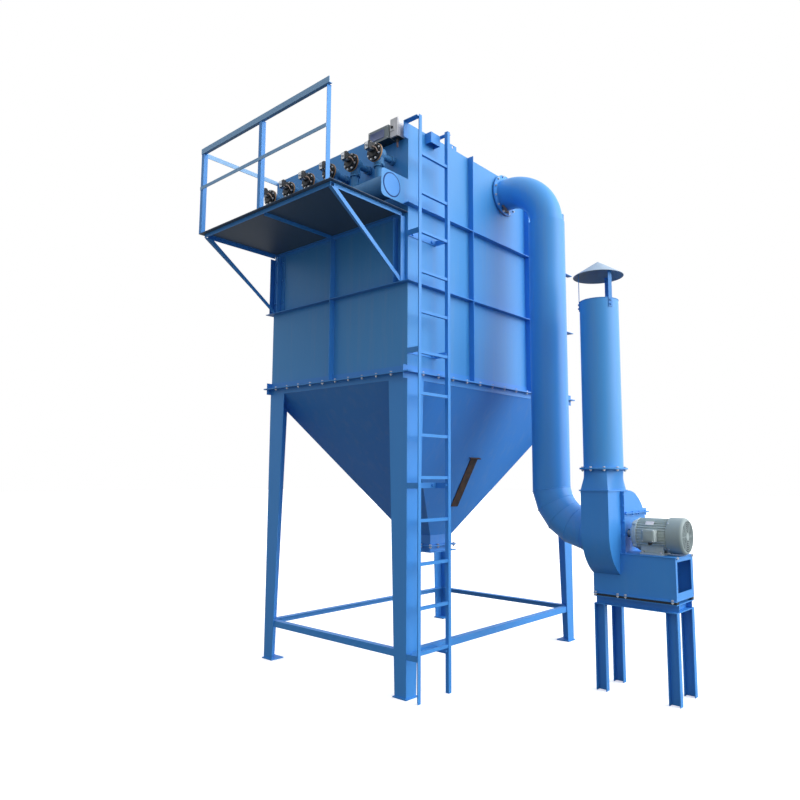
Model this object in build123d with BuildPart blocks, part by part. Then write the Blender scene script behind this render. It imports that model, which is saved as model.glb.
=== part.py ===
from build123d import *
import math
import os

os.makedirs("parts", exist_ok=True)

# Pulse-jet dust collector on four legs, with service platform, access ladder,
# clean-air duct, belt-free fan and exhaust stack. All lengths are in millimetres.
# The origin is the heel of the front right leg at floor level, +Z is up,
# the service platform is on the -Y side and the duct and fan are on the +X side.

# Driving sizes of the filter housing
WIDTH = 1600.0
DEPTH = 2400.0
JOINT_Z = 2292.0
ROOF_Z = 4200.0
SHEET = 4.0
SEAT = 0.3
BUTT = 0.5

# Rolled sections
ANGLE = 50.0
ANGLE_T = 5.0
RAIL_ANGLE = 36.0
SMALL_ANGLE = 30.0
SMALL_T = 4.0
BAR_T = 6.0

# Housing planes: the leg heel lies flush with the outside of the flange angles
RIGHT = -ANGLE_T
LEFT = RIGHT - WIDTH
FRONT = ANGLE_T
BACK = FRONT + DEPTH
MID_X = (LEFT + RIGHT) / 2
MID_Y = (FRONT + BACK) / 2
ACROSS = Plane(origin=(MID_X, MID_Y, 0), x_dir=(0, 1, 0), z_dir=(1, 0, 0))
ALONG = Plane(origin=(MID_X, MID_Y, 0), x_dir=(1, 0, 0), z_dir=(0, -1, 0))

# Hopper
HOPPER_TOP = JOINT_Z - ANGLE
OUTLET = 300.0
OUTLET_Z = 1018.0
NECK_Z = 930.0
OUTLET_FLANGE = 366.0
COLLAR_H = 60.0
PLATE_T = 8.0
OUTLET_BOLTS = 334.0
BOLT_R = 6.5

# Legs and braces
LEG_TOP_W = 185.0
LEG_FOOT_W = 108.0
LEG_T = 8.0
FOOT_T = 10.0
FOOT_LIP = 10.0
BRACE_TOP = 322.0
BRACE_INSET = 64.0

# Stiffening bars standing out from the walls
BAR_OUT = 50.0
LOW_BAR_Z = JOINT_Z + 674.0
HIGH_BAR_Z = ROOF_Z - 645.0
SIDE_BAR_OFF = 436.0
BAR_RISE = 4.0

# Service platform and its guard rail
DECK_Z = ROOF_Z - 702.0
DECK_T = 4.0
DECK_OUT = 780.0
DECK_LIP = 34.0
RAIL_Z = DECK_Z + 730.0
RAIL_TALL = 45.0
RAIL_WIDE = 28.0
RAIL_END = 22.0
MID_RAIL_Z = DECK_Z + 402.0
POST_INSET = 45.0
STRUT_INSET = 45.3
BRACKET_X = (25.0, 100.0)

# Compressed-air header and pulse valves
EAR_OUT = 290.0
EAR_LOW = DECK_Z + 47.0
EAR_HIGH = EAR_LOW + 210.0
EAR_R = 35.0
TANK_R = 87.0
TANK_WALL = 5.0
TANK_Y = FRONT - 180.0
TANK_Z = DECK_Z + 154.0
VALVE_PITCH = 254.0
VALVE_COUNT = 6
VALVE_OFF = 12.0
VALVE_Z = TANK_Z + 290.0
VALVE_R = 68.0
PIPE_R = 30.0
BLOW_R = 24.0

# Ladder on the right-hand side
LADDER_OFF = 130.0
LADDER_NEAR = -19.0
LADDER_INNER = 309.0
RUNG_PITCH = 300.0
RUNG_FIRST = 327.0
RUNG = 22.0
LADDER_TOP = ROOF_Z + 17.0
RUNG_COUNT = int((LADDER_TOP - RUNG_FIRST) / RUNG_PITCH) + 1
STRAP_W = 40.0
STRAP_T = 5.0
STRAP_LEVELS = (RUNG_FIRST - 38.0, JOINT_Z - 822.0, JOINT_Z + 156.0, ROOF_Z - 863.0)

# Clean-air duct from the housing to the fan
DUCT_R = 150.0
DUCT_T = 3.0
DUCT_Y = MID_Y + 95.0
DUCT_HIGH_Z = ROOF_Z - 160.0
RISER_X = RIGHT + 425.0
ELBOW_STEP = 15.0
HIGH_BEND = 364.0
LOW_BEND = 370.0
LOW_GORES = 5
RING_R = 180.0
RING_T = 6.0
COLLAR_OUT = 16.0

# Fan with vertical outlet, stack and rain cap
FAN_Z = 1125.0
VOLUTE_X = RIGHT + 855.0
VOLUTE_W = 212.0
SCROLL_R = 319.0
SCROLL_STEP = 8.0
OUTLET_DEEP = 310.0
STACK_Y = DUCT_Y - 175.0
STACK_R = 143.0
STACK_Z = 1600.0
STACK_TOP = 2870.0
STACK_RING_R = 173.0
CAP_R = 187.0
CAP_RIM_Z = 3067.0
CAP_TIP_Z = 3185.0
CAP_T = 2.5
CAP_STRAPS = 3

# Fan base, pedestal and motor
BASE_LEN = 604.0
BASE_FRONT = DUCT_Y - 165.0
BASE_DEEP = 330.0
BASE_LOW = 612.0
BASE_TOP = 672.0
PAD_T = 18.0
FLANGE_OUT = 14.0
CHANNEL_W = 80.0
CHANNEL_B = 45.0
CHANNEL_T = 6.0
PEDESTAL_LEN = 392.0
PEDESTAL_TOP = 990.0
MOTOR_R = 118.0
MOTOR_X = VOLUTE_X + VOLUTE_W + 48.0
BELL_LEN = 48.0
MOTOR_LEN = 266.0
COWL_LEN = 112.0
COWL_R = 128.0

BOTH_WAYS = (1, -1)


def block(x, y, z, mode=Mode.ADD):
    """Add a box between the low and high value of each direction."""
    middle = ((x[0] + x[1]) / 2, (y[0] + y[1]) / 2, (z[0] + z[1]) / 2)
    with Locations(middle):
        Box(x[1] - x[0], y[1] - y[0], z[1] - z[0], mode=mode)


def angle_section(leg, thick):
    """Draw an equal angle with its heel on the sketch origin."""
    Polygon((0, 0), (leg, 0), (leg, thick), (thick, thick), (thick, leg), (0, leg), align=None)


def heel_plane(heel, leg_dir, run_dir):
    """Plane for an angle: x along the first leg, normal along the bar."""
    return Plane(origin=heel, x_dir=leg_dir, z_dir=run_dir)


# Side walls, each with the ear that carries one end of the air header
EAR_TIP = FRONT - EAR_OUT


def side_wall_outline():
    """Draw the outline of a side wall with its rounded ear."""
    Polyline(
        (EAR_TIP + EAR_R, EAR_LOW),
        (FRONT, EAR_LOW),
        (FRONT, JOINT_Z),
        (BACK, JOINT_Z),
        (BACK, ROOF_Z - SHEET),
        (FRONT, ROOF_Z - SHEET),
        (FRONT, EAR_HIGH),
        (EAR_TIP + EAR_R, EAR_HIGH),
    )
    CenterArc((EAR_TIP + EAR_R, EAR_HIGH - EAR_R), EAR_R, 90, 90)
    Line((EAR_TIP, EAR_HIGH - EAR_R), (EAR_TIP, EAR_LOW + EAR_R))
    CenterArc((EAR_TIP + EAR_R, EAR_LOW + EAR_R), EAR_R, 180, 90)


with BuildPart() as right_wall:
    with BuildSketch(Plane.YZ.offset(RIGHT - SHEET)):
        with BuildLine():
            side_wall_outline()
        make_face()
        with Locations((TANK_Y, TANK_Z)):
            Circle(TANK_R + SEAT, mode=Mode.SUBTRACT)
        with Locations((DUCT_Y, DUCT_HIGH_Z)):
            Circle(DUCT_R - DUCT_T, mode=Mode.SUBTRACT)
    extrude(amount=SHEET)
right_wall.part.label = "right_wall"
export_step(right_wall.part, "parts/right_wall.step")

with BuildPart() as left_wall:
    with BuildSketch(Plane.YZ.offset(LEFT)):
        with BuildLine():
            side_wall_outline()
        make_face()
        with Locations((TANK_Y, TANK_Z)):
            Circle(TANK_R + SEAT, mode=Mode.SUBTRACT)
    extrude(amount=SHEET)
left_wall.part.label = "left_wall"
export_step(left_wall.part, "parts/left_wall.step")

with BuildPart() as front_wall:
    block((LEFT + SHEET, RIGHT - SHEET), (FRONT, FRONT + SHEET), (JOINT_Z, ROOF_Z - SHEET))
front_wall.part.label = "front_wall"
export_step(front_wall.part, "parts/front_wall.step")

# Dirty-air inlet: a flanged round spigot low on the back wall
INLET_R = 150.0
INLET_Z = 2640.0
INLET_OUT = 120.0
INLET_RING_R = 185.0
INLET_PCD = 340.0
INLET_BOLTS = 8
INLET_FACE = Plane(origin=(MID_X - WIDTH / 4, BACK, INLET_Z), x_dir=(-1, 0, 0), z_dir=(0, 1, 0))

with BuildPart() as back_wall:
    block((LEFT + SHEET, RIGHT - SHEET), (BACK - SHEET, BACK), (JOINT_Z, ROOF_Z - SHEET))
    with Locations(INLET_FACE):
        Hole(radius=INLET_R - DUCT_T, depth=SHEET)
back_wall.part.label = "back_wall"
export_step(back_wall.part, "parts/back_wall.step")

with BuildPart() as inlet_spigot:
    with BuildSketch(INLET_FACE):
        Circle(INLET_R)
        Circle(INLET_R - DUCT_T, mode=Mode.SUBTRACT)
    extrude(amount=INLET_OUT)
    with BuildSketch(INLET_FACE.offset(INLET_OUT - RING_T)):
        Circle(INLET_RING_R)
        Circle(INLET_R - DUCT_T, mode=Mode.SUBTRACT)
        with PolarLocations(INLET_PCD / 2, INLET_BOLTS):
            Circle(BOLT_R, mode=Mode.SUBTRACT)
    extrude(amount=RING_T)
inlet_spigot.part.label = "inlet_spigot"
export_step(inlet_spigot.part, "parts/inlet_spigot.step")

with BuildPart() as roof_plate:
    block((LEFT, RIGHT), (FRONT, BACK), (ROOF_Z - SHEET, ROOF_Z))
roof_plate.part.label = "roof_plate"
export_step(roof_plate.part, "parts/roof_plate.step")

# Lifting lugs at the roof edges
LUG_LEN = 100.0
LUG_HIGH = 36.0
LUG_OFF = 650.0
LUG_EYE = 11.0

with BuildPart() as lifting_lugs:
    for side in BOTH_WAYS:
        with BuildSketch(Plane.YZ.offset(MID_X + side * (WIDTH / 2 - SHEET / 2) - SHEET / 2)):
            with Locations((MID_Y - LUG_OFF, ROOF_Z + LUG_HIGH / 2), (MID_Y + LUG_OFF, ROOF_Z + LUG_HIGH / 2)):
                Rectangle(LUG_LEN, LUG_HIGH)
                Circle(LUG_EYE, mode=Mode.SUBTRACT)
        extrude(amount=SHEET)
lifting_lugs.part.label = "lifting_lugs"
export_step(lifting_lugs.part, "parts/lifting_lugs.step")

# Bolted angle frames at the joint between housing and hopper
SIDE_RUN = DEPTH + 2 * ANGLE
END_RUN = WIDTH - 2 * BUTT

with BuildPart() as housing_flange:
    with BuildSketch(heel_plane((RIGHT, FRONT - ANGLE, JOINT_Z), (0, 0, 1), (0, 1, 0))):
        angle_section(ANGLE, ANGLE_T)
    extrude(amount=SIDE_RUN)
    with BuildSketch(heel_plane((LEFT, BACK + ANGLE, JOINT_Z), (0, 0, 1), (0, -1, 0))):
        angle_section(ANGLE, ANGLE_T)
    extrude(amount=SIDE_RUN)
    with BuildSketch(heel_plane((LEFT + BUTT, FRONT, JOINT_Z), (0, 0, 1), (1, 0, 0))):
        angle_section(ANGLE, ANGLE_T)
    extrude(amount=END_RUN)
    with BuildSketch(heel_plane((RIGHT - BUTT, BACK, JOINT_Z), (0, 0, 1), (-1, 0, 0))):
        angle_section(ANGLE, ANGLE_T)
    extrude(amount=END_RUN)
housing_flange.part.label = "housing_flange"
export_step(housing_flange.part, "parts/housing_flange.step")

with BuildPart() as hopper_flange:
    mirror(housing_flange.part, about=Plane.XY.offset(JOINT_Z))
hopper_flange.part.label = "hopper_flange"
export_step(hopper_flange.part, "parts/hopper_flange.step")

# Hopper: four mitred plates, each with its upright lip and its strip of the neck
SLOPE_X = math.hypot(WIDTH / 2 - OUTLET / 2, HOPPER_TOP - OUTLET_Z) / (HOPPER_TOP - OUTLET_Z)
SLOPE_Y = math.hypot(DEPTH / 2 - OUTLET / 2, HOPPER_TOP - OUTLET_Z) / (HOPPER_TOP - OUTLET_Z)
SKIN_X = SHEET * SLOPE_X
SKIN_Y = SHEET * SLOPE_Y


def end_strip(half_x, half_y):
    """Draw the mitred plan of a front plate of the hopper at one level."""
    Polygon(
        (-half_x, -half_y),
        (half_x, -half_y),
        (half_x - SKIN_X, -half_y + SKIN_Y),
        (-half_x + SKIN_X, -half_y + SKIN_Y),
        align=None,
    )


def side_strip(half_x, half_y):
    """Draw the mitred plan of a right-hand plate of the hopper at one level."""
    Polygon(
        (half_x, -half_y),
        (half_x, half_y),
        (half_x - SKIN_X, half_y - SKIN_Y),
        (half_x - SKIN_X, -half_y + SKIN_Y),
        align=None,
    )


HOPPER_AXIS = Plane(origin=(MID_X, MID_Y, 0), x_dir=(1, 0, 0), z_dir=(0, 0, 1))
LIP_TOP = JOINT_Z
JOINT_X = WIDTH / 2
JOINT_Y = DEPTH / 2

with BuildPart() as hopper_front:
    with BuildSketch(HOPPER_AXIS.offset(HOPPER_TOP)):
        end_strip(JOINT_X, JOINT_Y)
    extrude(amount=LIP_TOP - HOPPER_TOP)
    with BuildSketch(HOPPER_AXIS.offset(OUTLET_Z)):
        end_strip(OUTLET / 2, OUTLET / 2)
    with BuildSketch(HOPPER_AXIS.offset(HOPPER_TOP)):
        end_strip(JOINT_X, JOINT_Y)
    loft(ruled=True)
    with BuildSketch(HOPPER_AXIS.offset(NECK_Z)):
        end_strip(OUTLET / 2, OUTLET / 2)
    extrude(amount=OUTLET_Z - NECK_Z)
hopper_front.part.label = "hopper_front"
export_step(hopper_front.part, "parts/hopper_front.step")

with BuildPart() as hopper_back:
    mirror(hopper_front.part, about=ALONG)
hopper_back.part.label = "hopper_back"
export_step(hopper_back.part, "parts/hopper_back.step")

with BuildPart() as hopper_right:
    with BuildSketch(HOPPER_AXIS.offset(HOPPER_TOP)):
        side_strip(JOINT_X, JOINT_Y)
    extrude(amount=LIP_TOP - HOPPER_TOP)
    with BuildSketch(HOPPER_AXIS.offset(OUTLET_Z)):
        side_strip(OUTLET / 2, OUTLET / 2)
    with BuildSketch(HOPPER_AXIS.offset(HOPPER_TOP)):
        side_strip(JOINT_X, JOINT_Y)
    loft(ruled=True)
    with BuildSketch(HOPPER_AXIS.offset(NECK_Z)):
        side_strip(OUTLET / 2, OUTLET / 2)
    extrude(amount=OUTLET_Z - NECK_Z)
hopper_right.part.label = "hopper_right"
export_step(hopper_right.part, "parts/hopper_right.step")

with BuildPart() as hopper_left:
    mirror(hopper_right.part, about=ACROSS)
hopper_left.part.label = "hopper_left"
export_step(hopper_left.part, "parts/hopper_left.step")

# Wear strip down the middle of the right-hand plate, with a small cap ledge above it
RUN_X = (WIDTH - OUTLET) / 2
RUN_Z = HOPPER_TOP - OUTLET_Z
FALL = math.hypot(RUN_X, RUN_Z)
STRIP_LOW = 290.0
STRIP_LEN = 480.0
STRIP_W = 98.0
STRIP_OFF = 19.0
STRIP_T = 6.0
LEDGE_W = 150.0
LEDGE_OUT = 24.0
SLOPE_FACE = Plane(
    origin=(MID_X + OUTLET / 2, MID_Y + STRIP_OFF, OUTLET_Z),
    x_dir=(RUN_X / FALL, 0, RUN_Z / FALL),
    z_dir=(RUN_Z / FALL, 0, -RUN_X / FALL),
)

with BuildPart() as hopper_bar:
    with BuildSketch(SLOPE_FACE.offset(SEAT)):
        with Locations((STRIP_LOW + STRIP_LEN / 2, 0)):
            Rectangle(STRIP_LEN, STRIP_W)
    extrude(amount=STRIP_T)
    with BuildSketch(SLOPE_FACE.offset(SEAT)):
        with Locations((STRIP_LOW + STRIP_LEN + STRIP_T / 2, 0)):
            Rectangle(STRIP_T, LEDGE_W)
    extrude(amount=LEDGE_OUT)
hopper_bar.part.label = "hopper_bar"
export_step(hopper_bar.part, "parts/hopper_bar.step")

# Bolted dust outlet below the hopper neck
with BuildPart() as outlet_collar:
    with BuildSketch(HOPPER_AXIS.offset(NECK_Z - PLATE_T)):
        Rectangle(OUTLET_FLANGE, OUTLET_FLANGE)
        Rectangle(OUTLET - 2 * PLATE_T, OUTLET - 2 * PLATE_T, mode=Mode.SUBTRACT)
    extrude(amount=PLATE_T)
    with BuildSketch(HOPPER_AXIS.offset(NECK_Z - COLLAR_H)):
        Rectangle(OUTLET, OUTLET)
        Rectangle(OUTLET - 2 * PLATE_T, OUTLET - 2 * PLATE_T, mode=Mode.SUBTRACT)
    extrude(amount=COLLAR_H)
    with BuildSketch(HOPPER_AXIS.offset(NECK_Z - COLLAR_H)):
        Rectangle(OUTLET_FLANGE, OUTLET_FLANGE)
        Rectangle(OUTLET - 2 * PLATE_T, OUTLET - 2 * PLATE_T, mode=Mode.SUBTRACT)
        with GridLocations(OUTLET_BOLTS, OUTLET_BOLTS, 2, 2):
            Circle(BOLT_R, mode=Mode.SUBTRACT)
    extrude(amount=PLATE_T)
outlet_collar.part.label = "outlet_collar"
export_step(outlet_collar.part, "parts/outlet_collar.step")

# Solid outline of the hopper, kept clear of the leg tops
with BuildPart() as hopper_envelope:
    with BuildSketch(HOPPER_AXIS.offset(OUTLET_Z)):
        Rectangle(OUTLET + 2 * BUTT, OUTLET + 2 * BUTT)
    with BuildSketch(HOPPER_AXIS.offset(HOPPER_TOP)):
        Rectangle(WIDTH + 2 * BUTT, DEPTH + 2 * BUTT)
    loft(ruled=True)

# Tapered angle legs with foot plates
with BuildPart() as leg_front_right:
    with BuildSketch(Plane.YZ.offset(-LEG_T)):
        Polygon((0, FOOT_T), (LEG_FOOT_W, FOOT_T), (LEG_TOP_W, HOPPER_TOP), (0, HOPPER_TOP), align=None)
    extrude(amount=LEG_T)
    with BuildSketch(Plane.XZ.offset(-LEG_T)):
        Polygon((0, FOOT_T), (-LEG_FOOT_W, FOOT_T), (-LEG_TOP_W, HOPPER_TOP), (0, HOPPER_TOP), align=None)
    extrude(amount=LEG_T)
    foot_in = LEG_FOOT_W + FOOT_LIP
    block((-foot_in, FOOT_LIP), (-FOOT_LIP, foot_in), (0, FOOT_T))
    add(hopper_envelope.part, mode=Mode.SUBTRACT)
leg_front_right.part.label = "leg_front_right"
export_step(leg_front_right.part, "parts/leg_front_right.step")

with BuildPart() as leg_front_left:
    mirror(leg_front_right.part, about=ACROSS)
leg_front_left.part.label = "leg_front_left"
export_step(leg_front_left.part, "parts/leg_front_left.step")

with BuildPart() as leg_back_right:
    mirror(leg_front_right.part, about=ALONG)
leg_back_right.part.label = "leg_back_right"
export_step(leg_back_right.part, "parts/leg_back_right.step")

with BuildPart() as leg_back_left:
    mirror(leg_front_left.part, about=ALONG)
leg_back_left.part.label = "leg_back_left"
export_step(leg_back_left.part, "parts/leg_back_left.step")

# Braces between the legs, seated on the inside of the leg plates
FRAME_X = WIDTH + 2 * ANGLE_T
FRAME_Y = DEPTH + 2 * ANGLE_T
BRACE_IN = LEG_T + SEAT

with BuildPart() as leg_braces:
    with BuildSketch(heel_plane((-BRACE_IN, BRACE_INSET, BRACE_TOP), (0, 0, -1), (0, 1, 0))):
        angle_section(ANGLE, ANGLE_T)
    extrude(amount=FRAME_Y - 2 * BRACE_INSET)
    mirror(about=ACROSS)
    with BuildSketch(heel_plane((-FRAME_X + BRACE_INSET, BRACE_IN, BRACE_TOP), (0, 0, -1), (1, 0, 0))):
        angle_section(ANGLE, ANGLE_T)
    front_brace = extrude(amount=FRAME_X - 2 * BRACE_INSET)
    mirror(front_brace, about=ALONG)
leg_braces.part.label = "leg_braces"
export_step(leg_braces.part, "parts/leg_braces.step")

# Flat stiffening bars: uprights run through, level bars stop against them
UPRIGHT_TOP = ROOF_Z + BAR_RISE
UPRIGHT_Y = (MID_Y - SIDE_BAR_OFF, MID_Y + SIDE_BAR_OFF)
LEG_GAP = ANGLE_T + SEAT
SIDE_SPANS = (
    (FRONT - BAR_OUT, UPRIGHT_Y[0] - BAR_T / 2 - BUTT),
    (UPRIGHT_Y[0] + BAR_T / 2 + BUTT, UPRIGHT_Y[1] - BAR_T / 2 - BUTT),
    (UPRIGHT_Y[1] + BAR_T / 2 + BUTT, BACK + BAR_OUT),
)
END_SPANS = (
    (LEFT, MID_X - BAR_T / 2 - BUTT),
    (MID_X + BAR_T / 2 + BUTT, RIGHT),
)

with BuildPart() as side_stiffeners:
    for middle in UPRIGHT_Y:
        with BuildSketch(Plane.XZ.offset(-middle - BAR_T / 2)):
            with BuildLine():
                Polyline(
                    (RIGHT + LEG_GAP, JOINT_Z + LEG_GAP),
                    (RIGHT + BAR_OUT, JOINT_Z + LEG_GAP),
                    (RIGHT + BAR_OUT, UPRIGHT_TOP),
                    (RIGHT, UPRIGHT_TOP),
                    (RIGHT, JOINT_Z + ANGLE + SEAT),
                    (RIGHT + LEG_GAP, JOINT_Z + ANGLE + SEAT),
                    close=True,
                )
            make_face()
        extrude(amount=BAR_T)
    for low, high in SIDE_SPANS:
        for top in (LOW_BAR_Z, HIGH_BAR_Z):
            block((RIGHT, RIGHT + BAR_OUT), (low, high), (top - BAR_T, top))
    mirror(about=ACROSS)
side_stiffeners.part.label = "side_stiffeners"
export_step(side_stiffeners.part, "parts/side_stiffeners.step")

with BuildPart() as end_stiffeners:
    with BuildSketch(Plane.YZ.offset(MID_X - BAR_T / 2)):
        with BuildLine():
            Polyline(
                (FRONT - LEG_GAP, JOINT_Z + LEG_GAP),
                (FRONT - BAR_OUT, JOINT_Z + LEG_GAP),
                (FRONT - BAR_OUT, DECK_Z - SMALL_ANGLE - SEAT),
                (FRONT, DECK_Z - SMALL_ANGLE - SEAT),
                (FRONT, JOINT_Z + ANGLE + SEAT),
                (FRONT - LEG_GAP, JOINT_Z + ANGLE + SEAT),
                close=True,
            )
        make_face()
    extrude(amount=BAR_T)
    for low, high in END_SPANS:
        block((low, high), (FRONT - BAR_OUT, FRONT), (LOW_BAR_Z - BAR_T, LOW_BAR_Z))
    mirror(about=ALONG)
end_stiffeners.part.label = "end_stiffeners"
export_step(end_stiffeners.part, "parts/end_stiffeners.step")

# Service platform: chequer plate deck on an angle frame
DECK_FRONT = FRONT - DECK_OUT
FRAME_FRONT = DECK_FRONT + DECK_LIP
FRAME_BACK = FRONT - SEAT

with BuildPart() as platform_deck:
    block((LEFT, RIGHT), (DECK_FRONT, FRAME_BACK), (DECK_Z, DECK_Z + DECK_T))
platform_deck.part.label = "platform_deck"
export_step(platform_deck.part, "parts/platform_deck.step")

FRAME_X_ENDS = (LEFT + DECK_LIP, RIGHT - DECK_LIP)
CROSS_FRONT = FRAME_FRONT + SMALL_ANGLE + BUTT
CROSS_RUN = FRAME_BACK - SMALL_ANGLE - BUTT - CROSS_FRONT

with BuildPart() as platform_frame:
    with BuildSketch(heel_plane((FRAME_X_ENDS[0], FRAME_FRONT, DECK_Z), (0, 0, -1), (1, 0, 0))):
        angle_section(SMALL_ANGLE, SMALL_T)
    extrude(amount=FRAME_X_ENDS[1] - FRAME_X_ENDS[0])
    with BuildSketch(heel_plane((FRAME_X_ENDS[1], FRAME_BACK, DECK_Z), (0, 0, -1), (-1, 0, 0))):
        angle_section(SMALL_ANGLE, SMALL_T)
    extrude(amount=FRAME_X_ENDS[1] - FRAME_X_ENDS[0])
    with BuildSketch(heel_plane((FRAME_X_ENDS[1], CROSS_FRONT, DECK_Z), (0, 0, -1), (0, 1, 0))):
        angle_section(SMALL_ANGLE, SMALL_T)
    side_angle = extrude(amount=CROSS_RUN)
    mirror(side_angle, about=ACROSS)
    with BuildSketch(heel_plane((MID_X, CROSS_FRONT, DECK_Z), (0, 0, -1), (0, 1, 0))):
        angle_section(SMALL_ANGLE, SMALL_T)
    extrude(amount=CROSS_RUN)
platform_frame.part.label = "platform_frame"
export_step(platform_frame.part, "parts/platform_frame.step")

# Platform brackets: wall angles, and sloping struts that land on the low bar
STRUT_LEG = 30.0
STRUT_LOW = LOW_BAR_Z + SEAT
STRUT_HIGH = DECK_Z - SMALL_ANGLE - SEAT
STRUT_X = (RIGHT - STRUT_INSET, LEFT + STRUT_INSET)
STRUT_FOOT_Y = FRONT - ANGLE_T - 2 * SEAT
STRUT_HEAD_Y = FRAME_FRONT + 6.0
STRUT_RUN = STRUT_FOOT_Y - STRUT_HEAD_Y
STRUT_ANGLE = math.atan2(STRUT_HIGH - STRUT_LOW, STRUT_RUN)
STRUT_FLAT = STRUT_LEG / math.sin(STRUT_ANGLE)
STRUT_SKIN = SMALL_T / math.sin(STRUT_ANGLE)
WALL_ANGLES = (
    (RIGHT - BRACKET_X[0], -1),
    (RIGHT - BRACKET_X[1], -1),
    (LEFT, 1),
    (LEFT + BRACKET_X[1], 1),
)


def strut_side(thickness):
    """Draw the side of a strut, level-cut at both ends, with the given width."""
    Polygon(
        (STRUT_FOOT_Y, STRUT_LOW),
        (STRUT_FOOT_Y - thickness, STRUT_LOW),
        (STRUT_HEAD_Y, STRUT_HIGH),
        (STRUT_HEAD_Y + thickness, STRUT_HIGH),
        align=None,
    )


with BuildPart() as platform_struts:
    for middle in STRUT_X:
        with BuildSketch(Plane.YZ.offset(middle)):
            strut_side(STRUT_SKIN)
        extrude(amount=STRUT_LEG / 2, both=True)
        with BuildSketch(Plane.YZ.offset(middle + STRUT_LEG / 2 - SMALL_T)):
            strut_side(STRUT_FLAT)
        extrude(amount=SMALL_T)
platform_struts.part.label = "platform_struts"
export_step(platform_struts.part, "parts/platform_struts.step")

with BuildPart() as wall_angles:
    for heel_x, way in WALL_ANGLES:
        with BuildSketch(Plane.XY.offset(STRUT_LOW)):
            with Locations((heel_x, FRONT - SEAT)):
                Polygon(
                    (0, 0),
                    (way * ANGLE, 0),
                    (way * ANGLE, -ANGLE_T),
                    (way * ANGLE_T, -ANGLE_T),
                    (way * ANGLE_T, -ANGLE),
                    (0, -ANGLE),
                    align=None,
                )
        extrude(amount=STRUT_HIGH - STRUT_LOW)
wall_angles.part.label = "wall_angles"
export_step(wall_angles.part, "parts/wall_angles.step")

# Guard rail along the front and left edges
POST_X = (LEFT + RAIL_ANGLE, MID_X + ANGLE / 2)
RAIL_LOW = RAIL_Z - RAIL_TALL
RAIL_FACE = DECK_FRONT - SMALL_T - SEAT
POST_FOOT = DECK_Z + DECK_T
POST_HIGH = RAIL_LOW - SEAT - POST_FOOT
END_POST = (RIGHT - POST_INSET, DECK_FRONT + RAIL_ANGLE)
MID_RAIL_W = 28.0
SIDE_RAIL_W = 38.0

with BuildPart() as rail_posts:
    for heel_x in POST_X:
        with BuildSketch(heel_plane((heel_x, DECK_FRONT, POST_FOOT), (0, 1, 0), (0, 0, 1))):
            angle_section(RAIL_ANGLE, SMALL_T)
        extrude(amount=POST_HIGH)
    with BuildSketch(heel_plane((*END_POST, POST_FOOT), (-1, 0, 0), (0, 0, 1))):
        angle_section(RAIL_ANGLE, SMALL_T)
    extrude(amount=POST_HIGH)
rail_posts.part.label = "rail_posts"
export_step(rail_posts.part, "parts/rail_posts.step")

with BuildPart() as top_rail:
    with BuildSketch(Plane.YZ.offset(LEFT)):
        with Locations((RAIL_FACE, RAIL_LOW)):
            Polygon(
                (0, 0),
                (RAIL_WIDE, 0),
                (RAIL_WIDE, SMALL_T),
                (SMALL_T, SMALL_T),
                (SMALL_T, RAIL_TALL),
                (0, RAIL_TALL),
                align=None,
            )
    extrude(amount=WIDTH - RAIL_END)
top_rail.part.label = "top_rail"
export_step(top_rail.part, "parts/top_rail.step")

with BuildPart() as mid_rail:
    rail_x = (LEFT + SEAT, END_POST[0])
    block(rail_x, (RAIL_FACE, RAIL_FACE + SMALL_T), (MID_RAIL_Z - MID_RAIL_W, MID_RAIL_Z))
mid_rail.part.label = "mid_rail"
export_step(mid_rail.part, "parts/mid_rail.step")

with BuildPart() as side_rail:
    rail_y = (RAIL_FACE + RAIL_WIDE + SEAT, FRONT - SEAT)
    side_top = RAIL_Z - SIDE_RAIL_W / 2
    block((LEFT, LEFT + ANGLE_T), rail_y, (side_top - SIDE_RAIL_W, side_top))
side_rail.part.label = "side_rail"
export_step(side_rail.part, "parts/side_rail.step")

# Compressed-air header tank between the ears
TANK_PLUG = 8.0
TANK_OUT = 3.0
TANK_LINE = Plane(origin=(LEFT - TANK_OUT, TANK_Y, TANK_Z), x_dir=(0, 1, 0), z_dir=(1, 0, 0))
TANK_LEN = WIDTH + 2 * TANK_OUT

with BuildPart() as header_tank:
    with BuildSketch(TANK_LINE):
        Circle(TANK_R)
        Circle(TANK_R - TANK_WALL, mode=Mode.SUBTRACT)
    extrude(amount=TANK_LEN)
header_tank.part.label = "header_tank"
export_step(header_tank.part, "parts/header_tank.step")

with BuildPart() as tank_ends:
    with BuildSketch(TANK_LINE, TANK_LINE.offset(TANK_LEN - TANK_PLUG)):
        Circle(TANK_R - TANK_WALL - SEAT)
    extrude(amount=TANK_PLUG)
tank_ends.part.label = "tank_ends"
export_step(tank_ends.part, "parts/tank_ends.step")

# Right-angle pulse valves: cover to the front, port down to the header, blow pipe to the back
BODY_R = 50.0
BODY_BACK = TANK_Y + 46.0
BODY_FRONT = TANK_Y - 18.0
FLANGE_T = 12.0
COVER_T = 20.0
DOME_R = 44.0
DOME_T = 14.0
PORT_R = 38.0
PORT_Y = BODY_FRONT + PORT_R + 2 * SEAT
PORT_LEN = 34.0
BOSS_R = 33.0
BOSS_T = 16.0
PORT_LOW = VALVE_Z - BODY_R - PORT_LEN
COVER_BACK = BODY_FRONT - SEAT
VALVE_SPOTS = [
    MID_X + VALVE_OFF + (i - (VALVE_COUNT - 1) / 2) * VALVE_PITCH for i in range(VALVE_COUNT)
]

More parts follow.
